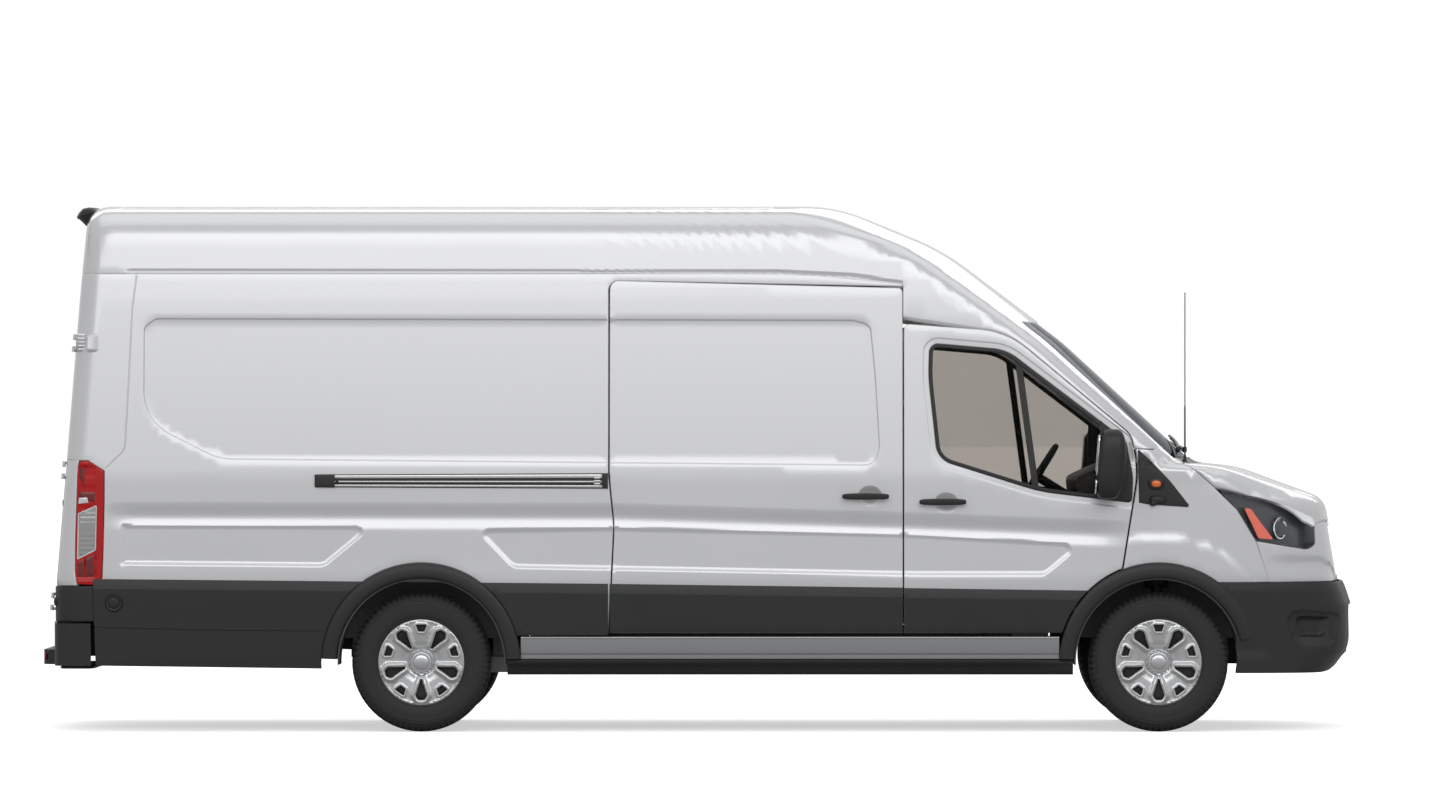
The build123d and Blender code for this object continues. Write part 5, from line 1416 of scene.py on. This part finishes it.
# A bright parabolic bowl with a rim ring and a small projector lens, facing forward and to the side.
def bowlMeshes():
    t = np.linspace(0.12, 1, 16)
    inner = np.stack([0.07 * t, 0.045 * (1 - t ** 2)], 1)
    profile = np.concatenate([[(0, 0.0452)], inner, inner[::-1] + (0.003, 0.003), [(0, 0.0482)]])
    bowl = latheMesh(profile, 56)
    ring = ringMesh(np.array([(0.07, -0.002), (0.077, -0.002), (0.078, 0.004), (0.07, 0.004)]), 56)
    eye = latheMesh([(0, 0.004), (0.012, 0.006), (0.021, 0.012), (0.026, 0.022), (0.027, 0.04), (0, 0.044)], 40)
    turn = np.radians(52)
    spin = np.array([(np.cos(turn), -np.sin(turn), 0), (np.sin(turn), np.cos(turn), 0), (0, 0, 1)])
    place = noseSurface(noseU(2.985, 1.035), np.array([1.035]), np.array([0.05]))[0]
    return [(points * 0.72 @ spin.T + place, faces) for points, faces in (joinMeshes([bowl, ring]), eye)]


bowl, lampEye = bowlMeshes()
for name, mesh, tone in (("headlampLens", lens, "clear_lens"), ("headlampHousing", housing, "lamp_housing"),
                         ("headlampReflector", reflector, "amber_reflector"), ("headlampBowl", bowl, "bright_metal"),
                         ("headlampEye", lampEye, "clear_lens")):
    addPair(name, mesh, tone, "body", ["headlamp_@"], "clear_lens")
print("nose and headlamps done")

# Front bumper: a textured shell with a fog lamp recess each side, creases behind it and a barred mouth.
bumperSet = {"recess": [(2.985, 0.571, 0.02), (3.012, 0.612, 0.02), (3.061, 0.624, 0.02), (3.262, 0.604, 0.02),
                        (3.244, 0.458, 0.025), (3.215, 0.433, 0.025), (3.061, 0.433, 0.02), (3.012, 0.458, 0.02)],
             "bezel": [(3.036, 0.575, 0.015), (3.07, 0.59, 0.012), (3.222, 0.584, 0.012), (3.212, 0.5, 0.015),
                       (3.19, 0.478, 0.012), (3.066, 0.48, 0.012)],
             "mouth": [(0.89, 0.64, 0.04), (0.95, 0.4, 0.05), (1.95, 0.4, 0.05), (2.01, 0.64, 0.04)],
             "recessDepth": 0.013, "bezelDepth": 0.03, "shelf": 0.47, "lower": 0.335, "across": 0.395, "top": 0.725}
recessLine = sideOutline(bumperSet["recess"], bumperSurface)
bezelLine = sideOutline(bumperSet["bezel"], bumperSurface)
mouthLine = anticlockwise(roundedLine(bumperSet["mouth"]))


def mirroredLine(line):
    return anticlockwise(line * (-1, 1) + (noseFull, 0))


def bumperOutline():
    low = circleLine(frontAxle, hubHeight, 0.429, -7.5, 11.0, 12)
    high = circleLine(frontAxle, hubHeight, 0.5075, 14.9, 53.2, 24)
    edge = np.concatenate([low, [(2.7505, 0.4845)], high])
    edgeU = np.stack([edge[:, 0] - nosePivot["x"], edge[:, 1]], 1)
    left = edgeU[::-1] * (-1, 1) + (noseFull, 0)
    bottom, top = [np.stack([np.linspace(u, noseFull - u, 70), np.full(70, level)], 1)
                   for u, level in ((edgeU[0, 0], 0.2975), (edgeU[-1, 0], 0.759))]
    return np.concatenate([bottom[1:-1], left[::-1][np.argsort(left[::-1][:, 1])], top[::-1][1:-1], edgeU[::-1]])


def bumperDepth(flat):
    u, z = np.minimum(flat[:, 0], noseFull - flat[:, 0]), flat[:, 1]
    points = np.stack([u, z], 1)
    b = bumperSet
    recess = b["recessDepth"] * smooth(depthWithin(points, recessLine) / 0.014)
    bezel = b["bezelDepth"] * smooth(depthWithin(points, bezelLine) / 0.008)
    shelf = smooth((b["shelf"] - z) / 0.01) * ramp(z, 0.36, 0.06) * smooth((0.4 - u) / 0.1)
    lower = smooth((b["lower"] - z) / 0.008) * smooth((0.36 - u) / 0.12)
    across = smooth((b["across"] - z) / 0.02) * ramp(u, 0.55, 0.15)
    return recess + bezel + 0.007 * shelf + 0.006 * lower + 0.008 * across + 0.004 * ramp(z, b["top"], 0.034)


def bumperRings():
    rings = []
    for line, moves in ((recessLine, (0.0, 0.006, 0.012)), (bezelLine, (0.0, 0.003, 0.007))):
        for away in moves:
            ring = moved(evenly(line, 0.012), away)
            rings += [(ring, True), (mirroredLine(ring), True)]
    return rings


bumperSheet = shellFrom(bumperOutline(), [mouthLine], bumperSurface, 0.012, 0.026, bumperRings(), 0.004, bumperDepth)
addPiece("bumperSkin", bumperSheet, "trim_plastic", "body", ["front_bumper"])


# A rounded bar across the mouth, following the bumper's bow.
def barAcross(level, tall, front, back, ends):
    u = np.linspace(ends[0], ends[1], 40)
    rows = []
    for dz, depth in ((-0.5, front + 0.004), (-0.32, front), (0.32, front), (0.5, front + 0.004), (0.5, back), (-0.5, back)):
        rows.append(bumperSurface(u, np.full(40, level + dz * tall), np.full(40, depth)))
    return loftMesh(np.stack(rows, 1))


mouthBars = joinMeshes([barAcross(level, 0.018, 0.016, 0.046, (0.9 + lift, 2.0 - lift))
                        for level, lift in ((0.454, 0.045), (0.514, 0.03), (0.574, 0.015))])
mouthBack = shellFrom(moved(mouthLine, -0.01), [], lifted(-0.05, bumperSurface), 0.004, 0.05, (), 0)
addPiece("bumperBars", mouthBars, "black_plastic", "body", ["front_bumper"], "trim_plastic")
addPiece("bumperMouth", mouthBack, "black_plastic", "body", ["front_bumper"], "trim_plastic")
print("front bumper done")

# Tail lamps: a red lens round the corner with a clear pane, its pale frame and darker blocks behind the lens, and a
# pale patch on the lens that is a painted glint.
tailSet = {"low": 0.75, "high": 1.377, "thick": 0.006, "pane": [(-3.164, 1.112, 0.004), (-3.068, 1.154, 0.006),
           (-3.072, 0.924, 0.012), (-3.168, 0.876, 0.004)], "frame": 0.005, "step": 0.0035, "band": -3.07,
           "field": (0.775, 1.352), "soft": 0.006, "ribPitch": 0.024, "ribDepth": 0.0007, "split": -3.128, "splitDepth": 0.002}


def onCorner(rows, step=0.02):
    line = evenly(roundedLine(rows, arcSteps=5), step)
    return anticlockwise(np.stack([rearU(line[:, 0], line[:, 1]), line[:, 1]], 1))


# The lamp's rear edge, which leaves a painted strip between the lamp and the rear door.
def tailRear(low, high, aside, steps=20):
    z = np.linspace(low, high, steps)
    x = np.interp(z, [0.75, 0.8, 0.977, 1.333, 1.377], [-3.166, -3.178, -3.178, -3.168, -3.16])
    return np.stack([rearU(x, z) + aside, z], 1)


def tailOutline():
    inner = tailRear(tailSet["low"] + 0.002, tailSet["high"], 0.0)
    outer = lampEdge() + (-0.002, 0)
    return anticlockwise(np.concatenate([inner, outer[::-1]]))


# A raised outer band, an inner field a step deeper, and fine level ribs.
def tailRelief(flat):
    place = sideSurface(flat[:, 0], flat[:, 1], np.zeros(len(flat)))
    x, z = place[:, 0], place[:, 2]
    t = tailSet
    low, high = t["field"]
    depth = t["step"] * smooth((t["band"] - x) / t["soft"]) * ramp(z, low, t["soft"]) * smooth((high - z) / t["soft"])
    split = 1 - ramp(np.abs(x - t["split"]), 0.0015, 0.002)
    ribs = 1 - smooth((np.abs((z / t["ribPitch"]) % 1 - 0.5) - 0.4) * -1 / 0.06)
    return depth + t["splitDepth"] * split * (depth > 0.001) + t["ribDepth"] * ribs * (depth > 0.001)


paneLine = onCorner(tailSet["pane"])
tailLens = shellFrom(tailOutline(), [paneLine], sideSurface, tailSet["thick"], 0.014, (), 0.003, tailRelief)
tailFrame = shellFrom(paneLine, [moved(paneLine, tailSet["frame"])], lifted(0.0006), 0.006, 0.01, (), 0.001)


def paneRelief(flat):
    wave = np.abs((flat[:, 1] / tailSet["ribPitch"]) % 1 - 0.5)
    return 0.0025 + 0.002 * (1 - smooth((wave - 0.03) / 0.06))


tailPane = shellFrom(moved(paneLine, tailSet["frame"] + 0.0004), [], sideSurface, 0.005, 0.006, (), 0.001, paneRelief)
blocks = [onCorner([(-3.162, 1.222), (-3.076, 1.218), (-3.076, 1.168), (-3.162, 1.182)]),
          onCorner([(-3.16, 1.352), (-3.133, 1.352), (-3.133, 1.242), (-3.16, 1.3)]),
          onCorner([(-3.166, 0.862), (-3.133, 0.876), (-3.133, 0.79), (-3.166, 0.79)]),
          onCorner([(-3.124, 0.88), (-3.082, 0.9), (-3.082, 0.79), (-3.124, 0.79)])]
tailBlocks = joinMeshes([shellFrom(line, [], lifted(0.0007 - tailSet["step"]), 0.002, 0.02, (), 0.0005) for line in blocks])
# A pale patch just in front of the lens, beside the upper block: a painted glint, not a part of the lamp.
tailPaintedGlint = shellFrom(onCorner([(-3.16, 1.19), (-3.118, 1.192), (-3.112, 1.166), (-3.162, 1.16)]), [],
                      lifted(0.0004), 0.004, 0.01, (), 0.001)
for name, mesh, tone in (("tailLens", tailLens, "red_lens"), ("tailFrame", tailFrame, "pale_lens"),
                         ("tailPane", tailPane, "pane_lens"), ("tailBlocks", tailBlocks, "deep_red"),
                         ("tailPaintedGlint", tailPaintedGlint, "pale_lens")):
    addPair(name, mesh, tone, "body", ["tail_lamps"], "red_lens")
print("tail lamps done")

# Rear hinges: ribbed bright blocks over the corner, a painted swelling ahead of the upper one, a black boss at the lower.
hingeSet = {"upper": (-3.152, -0.892, 1.981), "lower": (-3.206, -0.968, 0.66),
            "boss": (-3.262, -0.93, 0.663), "size": (0.058, 0.052, 0.092)}


def ribbedBlock(centre):
    body = roundedBlock(centre, hingeSet["size"], 7.0, 16, 36)
    ribs = [roundedBlock((centre[0], centre[1] - 0.024, centre[2] + lift), (0.046, 0.014, 0.011), 4.0, 8, 20)
            for lift in (-0.036, -0.018, 0.0, 0.018, 0.036)]
    return joinMeshes([body] + ribs)


# A painted wedge that rises from the side panel towards the hinge and falls away forward.
def swelling():
    cx, cz = -3.083, 1.978
    u0 = rearU(np.array([cx]), np.array([cz]))[0]
    outline = np.array([(u0 - 0.036, cz - 0.052), (u0 + 0.04, cz - 0.04), (u0 + 0.04, cz + 0.04), (u0 - 0.036, cz + 0.052)])

    def rise(flat):
        across = np.clip((u0 + 0.04 - flat[:, 0]) / 0.07, 0, 1)
        tall = np.clip((0.052 - np.abs(flat[:, 1] - cz)) / 0.02, 0, 1)
        return 0.004 - 0.03 * smooth(across) * smooth(tall)
    return shellFrom(outline, [], sideSurface, 0.006, 0.006, (), 0.001, rise)


stripEdge = tailRear(0.7445, 1.3815, -0.0025)
stripLine = anticlockwise(np.concatenate([rearEdge(0.7445, 1.3815, 20) + (0.001, 0), stripEdge[::-1]]))
cornerLine = anticlockwise(np.concatenate([rearEdge(0.563, 0.7405, 12) + (0.001, 0), [(-3.0985, 0.7405), (-3.0985, 0.563)]]))
boss = latheMesh([(0, -0.03), (0.016, -0.028), (0.026, -0.018), (0.031, 0.0), (0.033, 0.024), (0.033, 0.036), (0, 0.036)], 36)
boss = outward(boss[0][:, [1, 0, 2]] + np.array(hingeSet["boss"]), boss[1])
addPair("tailStrip", shellFrom(stripLine, [], sideSurface, 0.022, 0.03, (), 0.003), "body_paint", "body", ["tail_lamps"])
addPair("cornerCladding", shellFrom(cornerLine, [], lifted(0.01), 0.03, 0.03, (), 0.004), "trim_plastic")
addPair("hingeBump", swelling(), "body_paint")
addPair("hingeUpper", ribbedBlock(hingeSet["upper"]), "bright_metal")
addPair("hingeLower", ribbedBlock(hingeSet["lower"]), "bright_metal")
addPair("hingeBoss", boss, "black_plastic")

# Roof-rear spoiler with the high brake lamp, the rear door's handle, the step's red reflectors and the plate under it.
spoilerLine = np.array([(-3.118, 2.668), (-3.132, 2.684), (-3.165, 2.687), (-3.198, 2.68), (-3.22, 2.655), (-3.229, 2.636),
                        (-3.205, 2.615), (-3.182, 2.592), (-3.166, 2.586), (-3.146, 2.612)])
stations = np.concatenate([np.linspace(-0.3, -0.24, 8), np.linspace(-0.2, 0.2, 9), np.linspace(0.24, 0.3, 8)])
spoilerRows = []
for y in stations:
    share = 1 - 0.85 * smooth((abs(y) - 0.22) / 0.08)
    row = (spoilerLine - spoilerLine[0]) * share + spoilerLine[0]
    spoilerRows.append(np.stack([row[:, 0], np.full(len(row), y), row[:, 1] - 0.0625 * y * y], 1))
addPiece("roofSpoiler", loftMesh(np.array(spoilerRows)), "black_plastic", "body", ["roof_spoiler"])
brakeLamp = roundedBlock((-3.221, 0, 2.634), (0.022, 0.34, 0.018), 5.0, 10, 40)
addPiece("highBrakeLamp", brakeLamp, "red_lens", "body", ["roof_spoiler"])
rearHandle = joinMeshes([roundedBlock((-3.292, -0.085, 1.155), (0.034, 0.13, 0.04), 4.5, 12, 36),
                         roundedBlock((-3.272, -0.085, 1.155), (0.016, 0.165, 0.075), 5.0, 12, 36)])
addPiece("rearHandle", rearHandle, "black_plastic", "rear_door_right")
reflectors = [roundedBlock((-3.35, side * 0.69, 0.378), (0.01, 0.09, 0.036), 5.0, 10, 24) for side in (-1, 1)]
addPiece("stepReflectors", joinMeshes(reflectors), "red_lens")
addPiece("towPlate", roundedBlock((-3.2, 0, 0.316), (0.185, 1.25, 0.012), 8.0, 8, 40), "black_plastic")
print("rear done")

# Inner walls of the wheel arches, which close the view across the underside above the tyres.
wallSet = {"radius": 0.424, "foot": 0.47, "frontY": 0.526, "rearY": 0.642, "thick": 0.004}


def archWall(axleX, y):
    start = np.degrees(np.arcsin((wallSet["foot"] - hubHeight) / wallSet["radius"]))
    arc = circleLine(axleX, hubHeight, wallSet["radius"], start, 180 - start, 60)
    rows = [np.stack([arc[:, 0], np.full(len(arc), -depth), arc[:, 1]], 1) for depth in (y, y + wallSet["thick"])]
    return loftMesh(np.array(rows))


addPair("archWallFront", archWall(frontAxle, wallSet["frontY"]), "liner_felt", slot="black_plastic")
addPair("archWallRear", archWall(rearAxle, wallSet["rearY"]), "liner_felt", slot="black_plastic")

# Wipers: two arms lying on the foot of the windscreen, with a blade along each.
wiperSet = {"arms": [((-0.62, 1.432), (-0.05, 1.5)), ((0.05, 1.428), (0.6, 1.49))], "armRadius": 0.006, "bladeRadius": 0.005}


def wiperMesh(start, end):
    share = np.linspace(0, 1, 24)
    y = start[0] + (end[0] - start[0]) * share
    z = start[1] + (end[1] - start[1]) * share
    line = np.stack([bowReach(y, z) + 0.02 - 0.006 * share, y, z + 0.004], 1)
    blade = np.stack([bowReach(y, z - 0.012) + 0.01, y + 0.08, z - 0.01], 1)
    pivot = roundedBlock(line[0], (0.024, 0.024, 0.03), 3.5, 10, 24)
    return joinMeshes([tubeAlong(line, np.linspace(wiperSet["armRadius"] * 1.5, wiperSet["armRadius"], 24), 10),
                       tubeAlong(blade, wiperSet["bladeRadius"], 8), pivot])


addPiece("wipers", joinMeshes([wiperMesh(*arm) for arm in wiperSet["arms"]]), "black_plastic")

# Antenna: a base foot, a thicker lower rod and a mast wound with a fine wire.
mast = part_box("antenna")
mastX, mastY = (mast[0][0] + mast[1][0]) / 2, (mast[0][1] + mast[1][1]) / 2
mastFoot, mastTop = mast[0][2], mast[1][2]
lower = [(0, 0), (0.017, 0.0002), (0.0175, 0.006), (0.013, 0.018), (0.0085, 0.04), (0.0075, 0.055), (0.0045, 0.06),
         (0.004, 0.3), (0.0026, 0.32)]
upper = [(0.0024, -0.008), (0.0034, -0.007), (0.0034, -0.001), (0, 0)]
rod = latheMesh(np.concatenate([np.array(lower) + (0, mastFoot), np.array(upper) + (0, mastTop)]), 24)
coilTurns = 34
turns = np.linspace(0, 2 * np.pi * coilTurns, coilTurns * 12)
climb = np.linspace(mastFoot + 0.33, mastTop - 0.02, len(turns))
coil = tubeAlong(np.stack([0.0026 * np.cos(turns), 0.0026 * np.sin(turns), climb], 1), 0.0009, 6)
mastMesh = joinMeshes([outward(rod[0][:, [0, 2, 1]], rod[1]), coil])
addPiece("antennaMast", (mastMesh[0] + (mastX, mastY, 0), mastMesh[1]), "black_plastic", "body", ["antenna"])
print("front details done")


# Finishes of the pieces that stay as the CAD has them.
nodeFinish = {
    "body_paint": ["roof_panel", "side_panel_right", "side_panel_left", "sliding_door_right", "hood", "nose_cover",
                   "front_door_right", "front_door_left", "fender_right", "fender_left", "rear_door_right", "rear_door_left"],
    "trim_plastic": ["sliding_door_trim", "front_bumper", "rear_bumper", "side_trims", "door_trim_right", "door_trim_left",
                     "mirror_right", "mirror_left"],
    "sill_paint": ["sill_trims"],
    "black_plastic": ["cowl", "grille", "roof_spoiler", "sill_steps", "antenna"],
    "liner_felt": ["wheel_liners"],
    "tinted_glass": ["door_glass_right", "door_glass_left"],
    "screen_glass": ["windscreen"],
    "clear_lens": ["headlamp_right", "headlamp_left"],
    "red_lens": ["tail_lamps"],
    "tyre_rubber": ["tyre_front_left", "tyre_front_right", "tyre_rear_left", "tyre_rear_right"],
    "wheel_silver": ["wheel_front_left", "wheel_front_right", "wheel_rear_left", "wheel_rear_right"],
    "frame_steel": ["chassis_frame", "floor_pan"],
    "battery_case": ["battery_pack"],
    "drive_metal": ["rear_drive"],
    "cast_steel": ["front_subframe", "knuckle_right", "knuckle_left"],
    "cab_plastic": ["dashboard", "steering_wheel"],
    "seat_cloth": ["seats"],
    "bright_metal": ["door_track"],
}
for finishName, names in nodeFinish.items():
    for nodeName in names:
        mesh = nodes[nodeName].data
        mesh.materials.clear()
        mesh.materials.append(finishes[finishName])
print("carried-over pieces finished")


# Floor, light and camera. Rays from the camera and rays that have passed through glass see pure white around the van.
studio = {"floorTone": 0.46, "floorGlow": 0.55, "floorSize": 400.0, "skyForLight": 0.6,
          "lamps": {"topLamp": dict(place=(0, 0, 9.5), aim=(0, 0, 0), size=(16, 9), power=215),
                    "sideLamp": dict(place=(0.5, -13, 7.0), aim=(0, 0, 1.5), size=(18, 5), power=450),
                    "backLamp": dict(place=(0, 13, 7.0), aim=(0, 0, 1.5), size=(18, 5), power=280)},
          "camera": (0.379, -49.0, 1.622), "lens": 237.6, "shift": (-0.0416, 0.0073), "sensor": 36,
          "clipEnd": 500}
white = (1, 1, 1, 1)


# 1 for rays from the camera or through glass, else 0.
def seenRays(tree):
    path = addNode(tree, "LightPath").outputs
    return addNode(tree, "Math", {0: path["Is Camera Ray"], 1: path["Is Transmission Ray"]}, operation="MAXIMUM").outputs[0]


size = studio["floorSize"]
floorMesh = bpy.data.meshes.new("studioFloor")
floorMesh.from_pydata([(-size, -size, 0), (size, -size, 0), (size, size, 0), (-size, size, 0)], [], [(0, 1, 2, 3)])
floor = bpy.data.objects.new("studioFloor", floorMesh)
bpy.context.scene.collection.objects.link(floor)
floorFinish = finish("studioFloor", (studio["floorTone"],) * 3, 0.9, drift=0.01)
tree = floorFinish.node_tree
seen = seenRays(tree)
floorTone = addNode(tree, "Mix", {0: seen, 6: (studio["floorTone"],) * 3 + (1,), 7: white}, data_type="RGBA").outputs[2]
glow = addNode(tree, "Math", {0: seen, 1: studio["floorGlow"]}, operation="MULTIPLY").outputs[0]
feed(tree, tree.nodes["Principled BSDF"], {"Base Color": floorTone, "Emission Color": floorTone, "Emission Strength": glow,
                                           "Specular IOR Level": 0.0})
floorMesh.materials.append(floorFinish)

world = bpy.data.worlds.new("studioSky")
bpy.context.scene.world = world
world.use_nodes = True
tree = world.node_tree
strength = addNode(tree, "MapRange", {"Value": seenRays(tree), "To Min": studio["skyForLight"], "To Max": 1.0}).outputs["Result"]
feed(tree, tree.nodes["Background"], {"Strength": strength, "Color": white})


# A large area lamp at a place, turned towards its aim, unseen by the camera.
def softLamp(name, place, aim, size, power):
    data = bpy.data.lights.new(name, "AREA")
    data.shape = "RECTANGLE"
    data.size, data.size_y = size
    data.energy = power
    lamp = bpy.data.objects.new(name, data)
    lamp.location = place
    lamp.rotation_euler = (Vector(aim) - Vector(place)).to_track_quat("-Z", "Y").to_euler()
    lamp.visible_camera = False
    bpy.context.scene.collection.objects.link(lamp)


for name, settings in studio["lamps"].items():
    softLamp(name, **settings)
camera = bpy.data.objects.new("camera", bpy.data.cameras.new("camera"))
bpy.context.scene.collection.objects.link(camera)
bpy.context.scene.camera = camera
camera.location = studio["camera"]
camera.rotation_euler = (np.radians(90), 0, 0)
camera.data.lens = studio["lens"]
camera.data.sensor_width = studio["sensor"]
camera.data.shift_x, camera.data.shift_y = studio["shift"]
camera.data.clip_end = studio["clipEnd"]
bpy.context.scene.view_settings.view_transform = "Standard"
print("studio ready")
